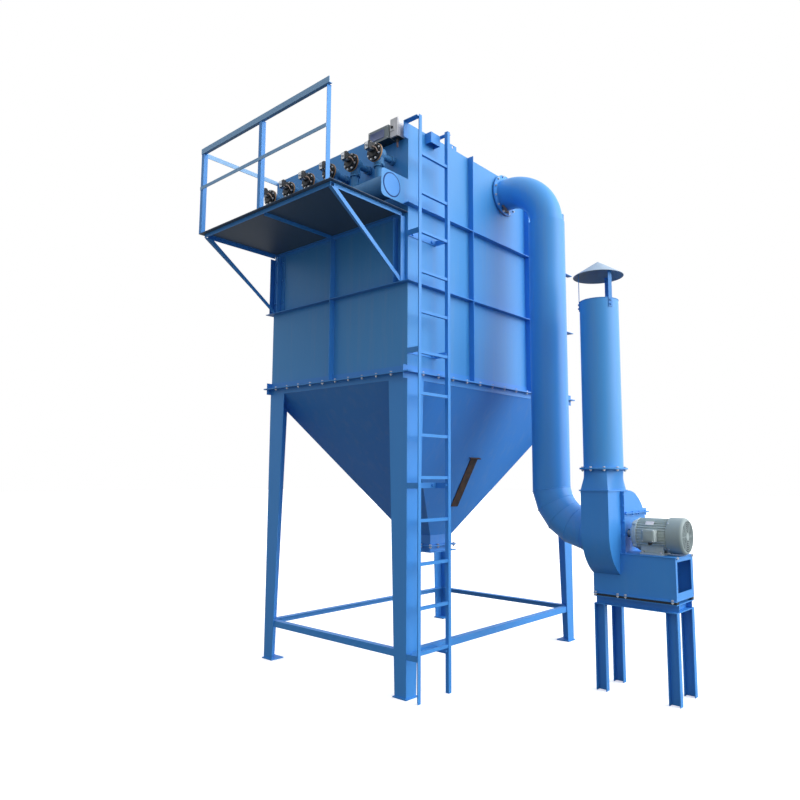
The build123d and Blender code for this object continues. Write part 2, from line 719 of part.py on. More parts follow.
with BuildPart() as valve_bodies:
    for spot in VALVE_SPOTS:
        with BuildSketch(Plane.XZ.offset(-BODY_BACK)):
            with Locations((spot, VALVE_Z)):
                Circle(BODY_R)
        extrude(amount=BODY_BACK - BODY_FRONT)
        with BuildSketch(Plane.XZ.offset(-BODY_FRONT - FLANGE_T)):
            with Locations((spot, VALVE_Z)):
                Circle(VALVE_R)
        extrude(amount=FLANGE_T)
        with BuildSketch(Plane.XY.offset(PORT_LOW)):
            with Locations((spot, PORT_Y)):
                Circle(PORT_R)
        extrude(amount=PORT_LEN + BODY_R / 2)
valve_bodies.part.label = "valve_bodies"
export_step(valve_bodies.part, "parts/valve_bodies.step")

with BuildPart() as valve_covers:
    for spot in VALVE_SPOTS:
        with BuildSketch(Plane.XZ.offset(-COVER_BACK)):
            with Locations((spot, VALVE_Z)):
                Circle(VALVE_R)
        extrude(amount=COVER_T)
        with BuildSketch(Plane.XZ.offset(-COVER_BACK + COVER_T)):
            with Locations((spot, VALVE_Z)):
                Circle(DOME_R)
        extrude(amount=DOME_T)
    dome_rims = edges().filter_by(GeomType.CIRCLE).group_by(Axis.Y)[0]
    fillet(dome_rims, DOME_T / 2)
valve_covers.part.label = "valve_covers"
export_step(valve_covers.part, "parts/valve_covers.step")

with BuildPart() as valve_pipes:
    for spot in VALVE_SPOTS:
        with BuildSketch(Plane.XY.offset(TANK_Z)):
            with Locations((spot, PORT_Y)):
                Circle(PIPE_R)
        extrude(amount=PORT_LOW - SEAT - TANK_Z)
    with BuildSketch(TANK_LINE):
        Circle(TANK_R + SEAT)
    extrude(amount=TANK_LEN, mode=Mode.SUBTRACT)
    for spot in VALVE_SPOTS:
        with BuildSketch(Plane.XZ.offset(-(FRONT - SEAT))):
            with Locations((spot, VALVE_Z)):
                Circle(BLOW_R)
        extrude(amount=FRONT - BODY_BACK - 2 * SEAT)
        with BuildSketch(Plane.XZ.offset(-(FRONT - SEAT))):
            with Locations((spot, VALVE_Z)):
                Circle(BOSS_R)
        extrude(amount=BOSS_T)
valve_pipes.part.label = "valve_pipes"
export_step(valve_pipes.part, "parts/valve_pipes.step")

# Pilot solenoids that stand out from the valve covers
PILOT_W = 46.0
PILOT_H = 52.0
PILOT_OUT = 60.0
PILOT_RISE = 24.0
PILOT_BACK = COVER_BACK - COVER_T - DOME_T - SEAT

with BuildPart() as pilot_solenoids:
    for spot in VALVE_SPOTS:
        pilot_z = (VALVE_Z + PILOT_RISE - PILOT_H / 2, VALVE_Z + PILOT_RISE + PILOT_H / 2)
        block((spot - PILOT_W / 2, spot + PILOT_W / 2), (PILOT_BACK - PILOT_OUT, PILOT_BACK), pilot_z)
    fillet(edges().filter_by(Axis.Y), SHEET)
pilot_solenoids.part.label = "pilot_solenoids"
export_step(pilot_solenoids.part, "parts/pilot_solenoids.step")

# Control boxes at the top of the front wall, beside the valves
BOX_BACK = FRONT - SEAT
BOX_EDGE = 4.0
CONTROL_X = (RIGHT - 338.0, RIGHT - 123.0)
CONTROL_Z = (ROOF_Z - 108.0, ROOF_Z)
CONTROL_DEEP = 88.0
SWITCH_X = (RIGHT - 119.0, RIGHT - 40.0)
SWITCH_Z = (ROOF_Z - 110.0, ROOF_Z + 40.0)
SWITCH_DEEP = 66.0
GLAND_R = 11.0
GLAND_LEN = 26.0

with BuildPart() as controller_box:
    block(CONTROL_X, (BOX_BACK - CONTROL_DEEP, BOX_BACK), CONTROL_Z)
    fillet(edges().filter_by(Axis.Y), BOX_EDGE)
controller_box.part.label = "controller_box"
export_step(controller_box.part, "parts/controller_box.step")

with BuildPart() as switch_box:
    block(SWITCH_X, (BOX_BACK - SWITCH_DEEP, BOX_BACK), SWITCH_Z)
    fillet(edges().filter_by(Axis.Y), BOX_EDGE)
    with BuildSketch(Plane.XY.offset(SWITCH_Z[0])):
        with Locations(((SWITCH_X[0] + SWITCH_X[1]) / 2, BOX_BACK - SWITCH_DEEP / 2)):
            Circle(GLAND_R)
    extrude(amount=-GLAND_LEN)
switch_box.part.label = "switch_box"
export_step(switch_box.part, "parts/switch_box.step")

# Small weather hood on the right wall, open below
HOOD_Y = (MID_Y - 1000.0, MID_Y - 890.0)
HOOD_Z = (4108.0, 4194.0)
HOOD_OUT = 60.0
HOOD_T = 3.0

with BuildPart() as side_hood:
    block((RIGHT, RIGHT + HOOD_OUT), HOOD_Y, HOOD_Z)
    hood_y = (HOOD_Y[0] + HOOD_T, HOOD_Y[1] - HOOD_T)
    block((RIGHT, RIGHT + HOOD_OUT - HOOD_T), hood_y, (HOOD_Z[0], HOOD_Z[1] - HOOD_T), mode=Mode.SUBTRACT)
side_hood.part.label = "side_hood"
export_step(side_hood.part, "parts/side_hood.step")

# Ladder: two angle stringers with their inner legs to the wall, and square rungs
LADDER_X = RIGHT + LADDER_OFF
NEAR_LEG = LADDER_NEAR + SMALL_ANGLE
FAR_LEG = NEAR_LEG + LADDER_INNER
RUNG_INSET = (SMALL_ANGLE - RUNG) / 2
RUNG_X = (LADDER_X - RUNG_INSET - RUNG, LADDER_X - RUNG_INSET)

with BuildPart() as ladder_stringers:
    block((LADDER_X - SMALL_T, LADDER_X), (LADDER_NEAR, NEAR_LEG), (0, LADDER_TOP))
    block((LADDER_X - SMALL_ANGLE, LADDER_X), (NEAR_LEG - SMALL_T, NEAR_LEG), (0, LADDER_TOP))
    block((LADDER_X - SMALL_T, LADDER_X), (FAR_LEG, FAR_LEG + SMALL_ANGLE), (0, LADDER_TOP))
    block((LADDER_X - SMALL_ANGLE, LADDER_X), (FAR_LEG, FAR_LEG + SMALL_T), (0, LADDER_TOP))
ladder_stringers.part.label = "ladder_stringers"
export_step(ladder_stringers.part, "parts/ladder_stringers.step")

with BuildPart() as ladder_rungs:
    for step in range(RUNG_COUNT):
        rung_z = RUNG_FIRST + step * RUNG_PITCH
        block(RUNG_X, (NEAR_LEG + SEAT, FAR_LEG - SEAT), (rung_z - RUNG / 2, rung_z + RUNG / 2))
ladder_rungs.part.label = "ladder_rungs"
export_step(ladder_rungs.part, "parts/ladder_rungs.step")

# Flat straps that hold the ladder off the wall, the legs and the roof edge
STRAP_X = (RIGHT, LADDER_X - SMALL_T - SEAT)
STRAP_NEAR = NEAR_LEG - SMALL_T - SEAT
STRAP_FAR = FAR_LEG + SMALL_T + SEAT
TAB_W = 50.0
TAB_H = 125.0

with BuildPart() as ladder_straps:
    for level in STRAP_LEVELS:
        high = (level - STRAP_W / 2, level + STRAP_W / 2)
        wall_x = RIGHT if level > JOINT_Z else 0
        block((wall_x, wall_x + STRAP_T), (STRAP_NEAR - STRAP_T, STRAP_FAR + STRAP_T), high)
        block((wall_x, STRAP_X[1]), (STRAP_NEAR - STRAP_T, STRAP_NEAR), high)
        block((wall_x, STRAP_X[1]), (STRAP_FAR, STRAP_FAR + STRAP_T), high)
ladder_straps.part.label = "ladder_straps"
export_step(ladder_straps.part, "parts/ladder_straps.step")

with BuildPart() as ladder_head_ties:
    near_tie = (FRONT - TAB_W, FRONT - SEAT)
    far_tie = (STRAP_FAR, STRAP_FAR + STRAP_W)
    block((RIGHT - STRAP_T, STRAP_X[1]), near_tie, (ROOF_Z, ROOF_Z + STRAP_T))
    block((RIGHT - STRAP_T, RIGHT), near_tie, (ROOF_Z - TAB_H, ROOF_Z + STRAP_T))
    block((RIGHT, STRAP_X[1]), far_tie, (ROOF_Z, ROOF_Z + STRAP_T))
    block((RIGHT, RIGHT + STRAP_T), far_tie, (ROOF_Z - STRAP_W, ROOF_Z + STRAP_T))
ladder_head_ties.part.label = "ladder_head_ties"
export_step(ladder_head_ties.part, "parts/ladder_head_ties.step")

# Clean-air duct with mitred elbows
DUCT_PLANE = Plane(origin=(0, DUCT_Y, 0), x_dir=(1, 0, 0), z_dir=(0, -1, 0))
COLLAR_X = RIGHT + COLLAR_OUT
FAN_RING_X = VOLUTE_X - 2 * RING_T


def gore_corners(centre, bend, start, gores):
    """Corner points of a mitred quarter bend that turns anticlockwise from start."""
    step = 90 / gores
    reach = bend / math.cos(math.radians(step / 2))
    turns = [math.radians(start + (i + 0.5) * step) for i in range(gores)]
    return [(centre[0] + reach * math.cos(t), centre[1] + reach * math.sin(t)) for t in turns]


def duct_ring(inner_r=DUCT_R - DUCT_T, outer_r=DUCT_R):
    """Draw the cross section of the duct or of one of its flange rings."""
    Circle(outer_r)
    Circle(inner_r, mode=Mode.SUBTRACT)


LOW_CORNERS = gore_corners((RISER_X + LOW_BEND, FAN_Z + LOW_BEND), LOW_BEND, 180, LOW_GORES)
ELBOW_R = DUCT_R - ELBOW_STEP
ELBOW_BORE_R = ELBOW_R - DUCT_T
RISER_TOP = DUCT_HIGH_Z - HIGH_BEND
RISER_FOOT = FAN_Z + LOW_BEND

with BuildPart() as duct_collar:
    with BuildSketch(Plane.YZ.offset(RIGHT)):
        with Locations((DUCT_Y, DUCT_HIGH_Z)):
            duct_ring()
    extrude(amount=COLLAR_OUT)
    with BuildSketch(Plane.YZ.offset(COLLAR_X - RING_T)):
        with Locations((DUCT_Y, DUCT_HIGH_Z)):
            duct_ring(outer_r=RING_R)
    extrude(amount=RING_T)
duct_collar.part.label = "duct_collar"
export_step(duct_collar.part, "parts/duct_collar.step")

with BuildPart() as upper_elbow:
    with BuildLine(DUCT_PLANE) as high_path:
        bend = CenterArc((RISER_X - HIGH_BEND, RISER_TOP), HIGH_BEND, 0, 90)
        Line(bend @ 1, (COLLAR_X, DUCT_HIGH_Z))
    with BuildSketch(Plane.XY.offset(RISER_TOP)):
        with Locations((RISER_X, DUCT_Y)):
            duct_ring(ELBOW_BORE_R, ELBOW_R)
    sweep(path=high_path.wires()[0])
    with BuildSketch(Plane.YZ.offset(COLLAR_X)):
        with Locations((DUCT_Y, DUCT_HIGH_Z)):
            duct_ring(ELBOW_BORE_R, RING_R)
    extrude(amount=RING_T)
upper_elbow.part.label = "upper_elbow"
export_step(upper_elbow.part, "parts/upper_elbow.step")

with BuildPart() as duct_riser:
    with BuildSketch(Plane.XY.offset(RISER_FOOT)):
        with Locations((RISER_X, DUCT_Y)):
            duct_ring()
    extrude(amount=RISER_TOP - RISER_FOOT)
    # The pressed elbow is narrower than the riser and stands on its top plate.
    with BuildSketch(Plane.XY.offset(RISER_TOP - DUCT_T)):
        with Locations((RISER_X, DUCT_Y)):
            duct_ring(ELBOW_BORE_R, DUCT_R)
    extrude(amount=DUCT_T)
duct_riser.part.label = "duct_riser"
export_step(duct_riser.part, "parts/duct_riser.step")

with BuildPart() as lower_elbow:
    with BuildLine(DUCT_PLANE) as low_path:
        Polyline((RISER_X, RISER_FOOT), *LOW_CORNERS, (FAN_RING_X, FAN_Z))
    with BuildSketch(Plane.XY.offset(RISER_FOOT)):
        with Locations((RISER_X, DUCT_Y)):
            duct_ring()
    sweep(path=low_path.wires()[0], transition=Transition.RIGHT)
    with BuildSketch(Plane.YZ.offset(FAN_RING_X)):
        with Locations((DUCT_Y, FAN_Z)):
            duct_ring(outer_r=RING_R)
    extrude(amount=RING_T)
lower_elbow.part.label = "lower_elbow"
export_step(lower_elbow.part, "parts/lower_elbow.step")

# Fan volute: growing scroll with an upright outlet on its front side
MOUTH_RIM = 8.0
RIM_T = 5.0
SCROLL_HALF = SCROLL_STEP / 2
MOUTH_FRONT = DUCT_Y - SCROLL_HALF - SCROLL_R - 2 * SCROLL_STEP
MOUTH_BACK = MOUTH_FRONT + OUTLET_DEEP
MOUTH_Z = FAN_Z - SCROLL_HALF + SCROLL_R
SCROLL_LOW_Z = FAN_Z - SCROLL_HALF - SCROLL_R - SCROLL_STEP
VOLUTE_END = VOLUTE_X + VOLUTE_W
BORE_R = 30.0
MOUTH_X = (VOLUTE_X - MOUTH_RIM, VOLUTE_END + MOUTH_RIM)
MOUTH_Y = (MOUTH_FRONT - MOUTH_RIM, MOUTH_BACK + MOUTH_RIM)


def scroll_outline(inset):
    """Draw a scroll of three growing quarter arcs, drawn in by the inset."""
    quarter = SCROLL_R - inset
    CenterArc((DUCT_Y + SCROLL_HALF, FAN_Z - SCROLL_HALF), quarter, 90, -90)
    CenterArc((DUCT_Y - SCROLL_HALF, FAN_Z - SCROLL_HALF), quarter + SCROLL_STEP, 0, -90)
    CenterArc((DUCT_Y - SCROLL_HALF, FAN_Z + SCROLL_HALF), quarter + 2 * SCROLL_STEP, -90, -90)
    Polyline(
        (MOUTH_FRONT + inset, FAN_Z + SCROLL_HALF),
        (MOUTH_FRONT + inset, MOUTH_Z - inset),
        (DUCT_Y + SCROLL_HALF, MOUTH_Z - inset),
    )


with BuildPart() as fan_volute:
    with BuildSketch(Plane.YZ.offset(VOLUTE_X)):
        with BuildLine():
            scroll_outline(0)
        make_face()
    extrude(amount=VOLUTE_W)
    block(MOUTH_X, MOUTH_Y, (MOUTH_Z - RIM_T, MOUTH_Z))
    with BuildSketch(Plane.YZ.offset(VOLUTE_X + SHEET)):
        with BuildLine():
            scroll_outline(SHEET)
        make_face()
    extrude(amount=VOLUTE_W - 2 * SHEET, mode=Mode.SUBTRACT)
    mouth_x = (VOLUTE_X + SHEET, VOLUTE_END - SHEET)
    mouth_y = (MOUTH_FRONT + SHEET, MOUTH_BACK - SHEET)
    block(mouth_x, mouth_y, (MOUTH_Z - 2 * SHEET, MOUTH_Z), mode=Mode.SUBTRACT)
    with BuildSketch(Plane.YZ.offset(VOLUTE_X - RING_T)):
        with Locations((DUCT_Y, FAN_Z)):
            duct_ring(outer_r=RING_R)
    extrude(amount=RING_T)
    with BuildSketch(Plane.YZ.offset(VOLUTE_X)):
        with Locations((DUCT_Y, FAN_Z)):
            Circle(DUCT_R - DUCT_T)
    extrude(amount=SHEET, mode=Mode.SUBTRACT)
    with BuildSketch(Plane.YZ.offset(VOLUTE_END - SHEET)):
        with Locations((DUCT_Y, FAN_Z)):
            Circle(BORE_R)
    extrude(amount=SHEET, mode=Mode.SUBTRACT)
fan_volute.part.label = "fan_volute"
export_step(fan_volute.part, "parts/fan_volute.step")

# Bolted split angles on the motor side of the volute
SPLIT_LEG = 27.0
SPLIT_T = 4.0
SPLIT_Y = DUCT_Y - 135.0
SPLIT_Z = FAN_Z + 149.0
SPLIT_BACK = DUCT_Y + SCROLL_R
SPLIT_FACE = VOLUTE_END + SEAT

with BuildPart() as volute_flanges:
    with BuildSketch(heel_plane((SPLIT_FACE, SPLIT_Y, PEDESTAL_TOP + SEAT), (1, 0, 0), (0, 0, 1))):
        angle_section(SPLIT_LEG, SPLIT_T)
    extrude(amount=MOUTH_Z - RIM_T - PEDESTAL_TOP - 2 * SEAT)
    with BuildSketch(heel_plane((SPLIT_FACE, SPLIT_BACK, SPLIT_Z + SEAT), (1, 0, 0), (0, -1, 0))):
        angle_section(SPLIT_LEG, SPLIT_T)
    level_angle = extrude(amount=SPLIT_BACK - SPLIT_Y - SPLIT_LEG - SEAT)
    mirror(level_angle, about=Plane.XY.offset(SPLIT_Z))
volute_flanges.part.label = "volute_flanges"
export_step(volute_flanges.part, "parts/volute_flanges.step")

# Square-to-round outlet piece between volute and stack
STACK_X = VOLUTE_X + VOLUTE_W / 2
MOUTH_MID = (MOUTH_FRONT + MOUTH_BACK) / 2
NECK_TOP = STACK_Z - RING_T

with BuildPart() as outlet_transition:
    with BuildSketch(Plane.XY.offset(MOUTH_Z)):
        with Locations((STACK_X, MOUTH_MID)):
            Rectangle(VOLUTE_W, OUTLET_DEEP)
    with BuildSketch(Plane.XY.offset(NECK_TOP)):
        with Locations((STACK_X, STACK_Y)):
            Circle(STACK_R)
    loft()
    block(MOUTH_X, MOUTH_Y, (MOUTH_Z, MOUTH_Z + RIM_T))
    with BuildSketch(Plane.XY.offset(MOUTH_Z)):
        with Locations((STACK_X, MOUTH_MID)):
            Rectangle(VOLUTE_W - 2 * SHEET, OUTLET_DEEP - 2 * SHEET)
    with BuildSketch(Plane.XY.offset(NECK_TOP)):
        with Locations((STACK_X, STACK_Y)):
            Circle(STACK_R - DUCT_T)
    loft(mode=Mode.SUBTRACT)
    block(mouth_x, mouth_y, (MOUTH_Z, MOUTH_Z + SHEET), mode=Mode.SUBTRACT)
    with BuildSketch(Plane.XY.offset(NECK_TOP)):
        with Locations((STACK_X, STACK_Y)):
            duct_ring(STACK_R - DUCT_T, STACK_RING_R)
    extrude(amount=RING_T)
outlet_transition.part.label = "outlet_transition"
export_step(outlet_transition.part, "parts/outlet_transition.step")

with BuildPart() as exhaust_stack:
    with BuildSketch(Plane.XY.offset(STACK_Z)):
        with Locations((STACK_X, STACK_Y)):
            duct_ring(STACK_R - DUCT_T, STACK_R)
    extrude(amount=STACK_TOP - STACK_Z)
    with BuildSketch(Plane.XY.offset(STACK_Z)):
        with Locations((STACK_X, STACK_Y)):
            duct_ring(STACK_R - DUCT_T, STACK_RING_R)
    extrude(amount=RING_T)
exhaust_stack.part.label = "exhaust_stack"
export_step(exhaust_stack.part, "parts/exhaust_stack.step")

# Conical rain cap on three straps
CAP_SLOPE = (CAP_TIP_Z - CAP_RIM_Z) / CAP_R
CAP_DROP = CAP_T * math.hypot(1, CAP_SLOPE)
CAP_STRAP_W = 30.0
CAP_STRAP_T = 4.0
CAP_STRAP_LAP = 70.0
STACK_LINE = Plane(origin=(STACK_X, STACK_Y, 0), x_dir=(1, 0, 0), z_dir=(0, 0, 1))

with BuildPart() as rain_cap:
    with BuildSketch(Plane(origin=(STACK_X, STACK_Y, 0), x_dir=(1, 0, 0), z_dir=(0, -1, 0))):
        Polygon(
            (0, CAP_TIP_Z),
            (0, CAP_TIP_Z - CAP_DROP),
            (CAP_R, CAP_RIM_Z - CAP_DROP),
            (CAP_R, CAP_RIM_Z),
            align=None,
        )
    revolve(axis=Axis((STACK_X, STACK_Y, 0), (0, 0, 1)))
rain_cap.part.label = "rain_cap"
export_step(rain_cap.part, "parts/rain_cap.step")

with BuildPart() as cap_straps:
    with BuildSketch(STACK_LINE.offset(STACK_TOP - CAP_STRAP_LAP)):
        with PolarLocations(STACK_R + SEAT + CAP_STRAP_T / 2, CAP_STRAPS, start_angle=-30):
            Rectangle(CAP_STRAP_T, CAP_STRAP_W)
    extrude(amount=CAP_RIM_Z - STACK_TOP + CAP_STRAP_LAP + 40)
    with BuildSketch(Plane(origin=(STACK_X, STACK_Y, 0), x_dir=(1, 0, 0), z_dir=(0, -1, 0))):
        Polygon(
            (0, CAP_TIP_Z - CAP_DROP - SEAT),
            (CAP_R, CAP_RIM_Z - CAP_DROP - SEAT),
            (CAP_R, CAP_TIP_Z),
            (0, CAP_TIP_Z),
            align=None,
        )
    revolve(axis=Axis((STACK_X, STACK_Y, 0), (0, 0, 1)), mode=Mode.SUBTRACT)
cap_straps.part.label = "cap_straps"
export_step(cap_straps.part, "parts/cap_straps.step")

# Channel base frame and legs of the fan set
BASE_BACK = BASE_FRONT + BASE_DEEP
BASE_X = (VOLUTE_X, VOLUTE_X + BASE_LEN)
SUPPORT_Z = SCROLL_LOW_Z + 60.0

with BuildPart() as fan_base_frame:
    for face, way in ((BASE_FRONT, 1), (BASE_BACK, -1)):
        with BuildSketch(heel_plane((BASE_X[0], face, BASE_LOW), (0, way, 0), (1, 0, 0))):
            with BuildLine():
                rise = way * (BASE_TOP - BASE_LOW)
                Polyline(
                    (0, 0),
                    (CHANNEL_B, 0),
                    (CHANNEL_B, rise),
                    (0, rise),
                    (0, rise - way * CHANNEL_T),
                    (CHANNEL_B - CHANNEL_T, rise - way * CHANNEL_T),
                    (CHANNEL_B - CHANNEL_T, way * CHANNEL_T),
                    (0, way * CHANNEL_T),
                    close=True,
                )
            make_face()
        extrude(amount=BASE_LEN)
    for end_x, web in ((BASE_X[0], 0), (BASE_X[1] - CHANNEL_B, CHANNEL_T)):
        between = (BASE_FRONT + CHANNEL_B + BUTT, BASE_BACK - CHANNEL_B - BUTT)
        block((end_x, end_x + CHANNEL_B), between, (BASE_LOW, BASE_TOP))
        inside = (end_x + web, end_x + web + CHANNEL_B - CHANNEL_T)
        block(inside, between, (BASE_LOW + CHANNEL_T, BASE_TOP - CHANNEL_T), mode=Mode.SUBTRACT)
fan_base_frame.part.label = "fan_base_frame"
export_step(fan_base_frame.part, "parts/fan_base_frame.step")

with BuildPart() as fan_legs:
    for leg_x in (BASE_X[0], BASE_X[1] - CHANNEL_W):
        for back in (BASE_FRONT + CHANNEL_B, BASE_BACK):
            side = (back - CHANNEL_B, back)
            block((leg_x, leg_x + CHANNEL_W), (back - CHANNEL_T, back), (0, BASE_LOW - SEAT))
            block((leg_x, leg_x + CHANNEL_T), side, (0, BASE_LOW - SEAT))
            block((leg_x + CHANNEL_W - CHANNEL_T, leg_x + CHANNEL_W), side, (0, BASE_LOW - SEAT))
fan_legs.part.label = "fan_legs"
export_step(fan_legs.part, "parts/fan_legs.step")

# Rubber strips between the base frame and the fan set
PAD_TOP = BASE_TOP + SEAT + PAD_T

with BuildPart() as isolating_strips:
    block(BASE_X, (BASE_FRONT, BASE_FRONT + CHANNEL_B), (BASE_TOP + SEAT, PAD_TOP))
    block(BASE_X, (BASE_BACK - CHANNEL_B, BASE_BACK), (BASE_TOP + SEAT, PAD_TOP))
isolating_strips.part.label = "isolating_strips"
export_step(isolating_strips.part, "parts/isolating_strips.step")

# Saddle under the scroll and motor pedestal, both with feet that stand out over the strips
FEET_Z = PAD_TOP + SEAT
FEET_TOP = FEET_Z + BAR_T
FEET_Y = (BASE_FRONT - FLANGE_OUT, BASE_BACK + FLANGE_OUT)
PEDESTAL_X = (VOLUTE_END + SEAT, VOLUTE_END + PEDESTAL_LEN)
PEDESTAL_T = 5.0
PEDESTAL_LIP = 6.0
WINDOW_SIDE = 34.0
WINDOW_LOW = 56.0

with BuildPart() as volute_saddle:
    block((VOLUTE_X, VOLUTE_END), (BASE_FRONT, BASE_BACK), (FEET_Z, SUPPORT_Z))
    block((VOLUTE_X, VOLUTE_END), FEET_Y, (FEET_Z, FEET_TOP))
    with BuildSketch(Plane.YZ.offset(VOLUTE_X)):
        with BuildLine():
            scroll_outline(-SEAT)
        make_face()
    extrude(amount=VOLUTE_W, mode=Mode.SUBTRACT)
volute_saddle.part.label = "volute_saddle"
export_step(volute_saddle.part, "parts/volute_saddle.step")

with BuildPart() as motor_pedestal:
    block(PEDESTAL_X, (BASE_FRONT, BASE_BACK), (FEET_Z, PEDESTAL_TOP))
    block(PEDESTAL_X, FEET_Y, (FEET_Z, FEET_TOP))
    lip_y = (BASE_FRONT - PEDESTAL_LIP, BASE_BACK + PEDESTAL_LIP)
    block((PEDESTAL_X[0], PEDESTAL_X[1] + PEDESTAL_LIP), lip_y, (PEDESTAL_TOP - PEDESTAL_T, PEDESTAL_TOP))
    hollow_x = (PEDESTAL_X[0] + PEDESTAL_T, PEDESTAL_X[1] - PEDESTAL_T)
    hollow_y = (BASE_FRONT + PEDESTAL_T, BASE_BACK - PEDESTAL_T)
    block(hollow_x, hollow_y, (FEET_Z, PEDESTAL_TOP - PEDESTAL_T), mode=Mode.SUBTRACT)
    window_y = (BASE_FRONT + WINDOW_SIDE, BASE_BACK - WINDOW_SIDE)
    window_z = (FEET_Z + WINDOW_LOW, PEDESTAL_TOP - WINDOW_SIDE)
    block((PEDESTAL_X[1] - PEDESTAL_T, PEDESTAL_X[1]), window_y, window_z, mode=Mode.SUBTRACT)
motor_pedestal.part.label = "motor_pedestal"
export_step(motor_pedestal.part, "parts/motor_pedestal.step")

# Foot-mounted motor with its shaft, cooling fins, terminal box and fan cowl
FIN_COUNT = 36
FIN_OUT = 12.0
FIN_T = 3.0
CORE_R = MOTOR_R - FIN_OUT
SHAFT_LINE = Plane(origin=(0, DUCT_Y, FAN_Z), x_dir=(0, 1, 0), z_dir=(1, 0, 0))
SHAFT_R = 19.0
SHAFT_IN = 30.0
BELL_STEP = 8.0
SHOE_X = (MOTOR_X + 75.0, MOTOR_X + 235.0)
SHOE_HALF = 108.0
SHOE_T = 14.0
WEB_Y = (70.0, 84.0)
WEB_DROP = 60.0
TERMINAL_X = (MOTOR_X + 124.0, MOTOR_X + 204.0)
TERMINAL_Z = (FAN_Z - 38.0, FAN_Z + 42.0)
TERMINAL_OUT = 176.0
COWL_ROUND = 22.0

with BuildPart() as motor_body:
    with BuildSketch(SHAFT_LINE.offset(MOTOR_X)):
        Circle(CORE_R)
    extrude(amount=BELL_LEN)
    fillet(edges().group_by(Axis.X)[0], COWL_ROUND)
    with BuildSketch(SHAFT_LINE.offset(MOTOR_X + BELL_LEN - BELL_STEP)):
        Circle(MOTOR_R)
    extrude(amount=BELL_STEP)
    with BuildSketch(SHAFT_LINE.offset(MOTOR_X + BELL_LEN)):
        Circle(CORE_R)
    extrude(amount=MOTOR_LEN - BELL_LEN)
    with BuildSketch(SHAFT_LINE.offset(MOTOR_X + BELL_LEN)):
        with PolarLocations(CORE_R, FIN_COUNT):
            Rectangle(2 * FIN_OUT, FIN_T)
    extrude(amount=MOTOR_LEN - BELL_LEN - BELL_STEP)
    with BuildSketch(SHAFT_LINE.offset(VOLUTE_END - SHAFT_IN)):
        Circle(SHAFT_R)
    extrude(amount=MOTOR_X - VOLUTE_END + SHAFT_IN)
    shoe_y = (DUCT_Y - SHOE_HALF, DUCT_Y + SHOE_HALF)
    block(SHOE_X, shoe_y, (PEDESTAL_TOP + SEAT, PEDESTAL_TOP + SHOE_T))
    for side in BOTH_WAYS:
        web_y = sorted(DUCT_Y + side * off for off in WEB_Y)
        block(SHOE_X, web_y, (PEDESTAL_TOP + SHOE_T, FAN_Z - WEB_DROP))
    block(TERMINAL_X, (DUCT_Y - TERMINAL_OUT, DUCT_Y - CORE_R + FIN_OUT), TERMINAL_Z)
motor_body.part.label = "motor_body"
export_step(motor_body.part, "parts/motor_body.step")

with BuildPart() as motor_cowl:
    with BuildSketch(SHAFT_LINE.offset(MOTOR_X + MOTOR_LEN)):
        Circle(COWL_R)
    extrude(amount=COWL_LEN)
    fillet(edges().group_by(Axis.X)[-1], COWL_ROUND)
motor_cowl.part.label = "motor_cowl"
export_step(motor_cowl.part, "parts/motor_cowl.step")
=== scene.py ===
"""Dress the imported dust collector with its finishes, fasteners, welds and fittings."""

import logging
import math
import random
from collections.abc import Sequence
from dataclasses import dataclass, field
from enum import Enum

import bmesh
import bpy
from mathutils import Matrix, Vector


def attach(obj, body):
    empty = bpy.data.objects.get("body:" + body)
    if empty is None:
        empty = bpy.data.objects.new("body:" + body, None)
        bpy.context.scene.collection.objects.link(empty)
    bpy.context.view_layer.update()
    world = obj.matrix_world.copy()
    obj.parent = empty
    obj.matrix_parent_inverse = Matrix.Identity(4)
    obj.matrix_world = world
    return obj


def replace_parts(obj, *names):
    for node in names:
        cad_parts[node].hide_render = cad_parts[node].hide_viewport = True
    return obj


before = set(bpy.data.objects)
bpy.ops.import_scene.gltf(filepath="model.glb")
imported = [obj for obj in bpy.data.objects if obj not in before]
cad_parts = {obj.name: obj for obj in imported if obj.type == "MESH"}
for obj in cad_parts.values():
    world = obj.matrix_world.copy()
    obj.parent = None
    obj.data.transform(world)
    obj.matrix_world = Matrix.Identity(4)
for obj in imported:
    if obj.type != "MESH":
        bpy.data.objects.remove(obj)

LOG = logging.getLogger("dust_collector")
MM = 0.001
CHANCE = random.Random(11)
# Numbers of the colour sockets of a mix node: first and second colour in, mixed colour out.
FIRST, SECOND, MIXED = 6, 7, 2
# Pairs of radius and height for a turned form, or of height and inset for a pad, in millimetres.
Profile = Sequence[tuple[float, float]]


# Small tools


def linear(hex_colour: str) -> tuple[float, float, float, float]:
    """Turn an sRGB hex colour into linear values.

    Args:
        hex_colour: Six hex digits with a leading hash.

    Returns:
        Red, green, blue and alpha for a shader socket.
    """
    values = [int(hex_colour[i : i + 2], 16) / 255 for i in (1, 3, 5)]
    bent = [v / 12.92 if v <= 0.04045 else ((v + 0.055) / 1.055) ** 2.4 for v in values]
    return (bent[0], bent[1], bent[2], 1.0)


def add_node(
    tree: bpy.types.NodeTree, kind: str, settings: dict | None = None, links: dict | None = None
) -> bpy.types.Node:
    """Add a node to a tree, set it up and link it.

    Args:
        tree: The node tree.
        kind: Blender's type name of the node.
        settings: Attribute or input names, with their values.
        links: Input names or numbers, with the output sockets that feed them.

    Returns:
        The new node.
    """
    node = tree.nodes.new(kind)
    for key, value in (settings or {}).items():
        if isinstance(key, str) and hasattr(node, key):
            setattr(node, key, value)
        else:
            node.inputs[key].default_value = value
    for key, source in (links or {}).items():
        tree.links.new(source, node.inputs[key])
    return node


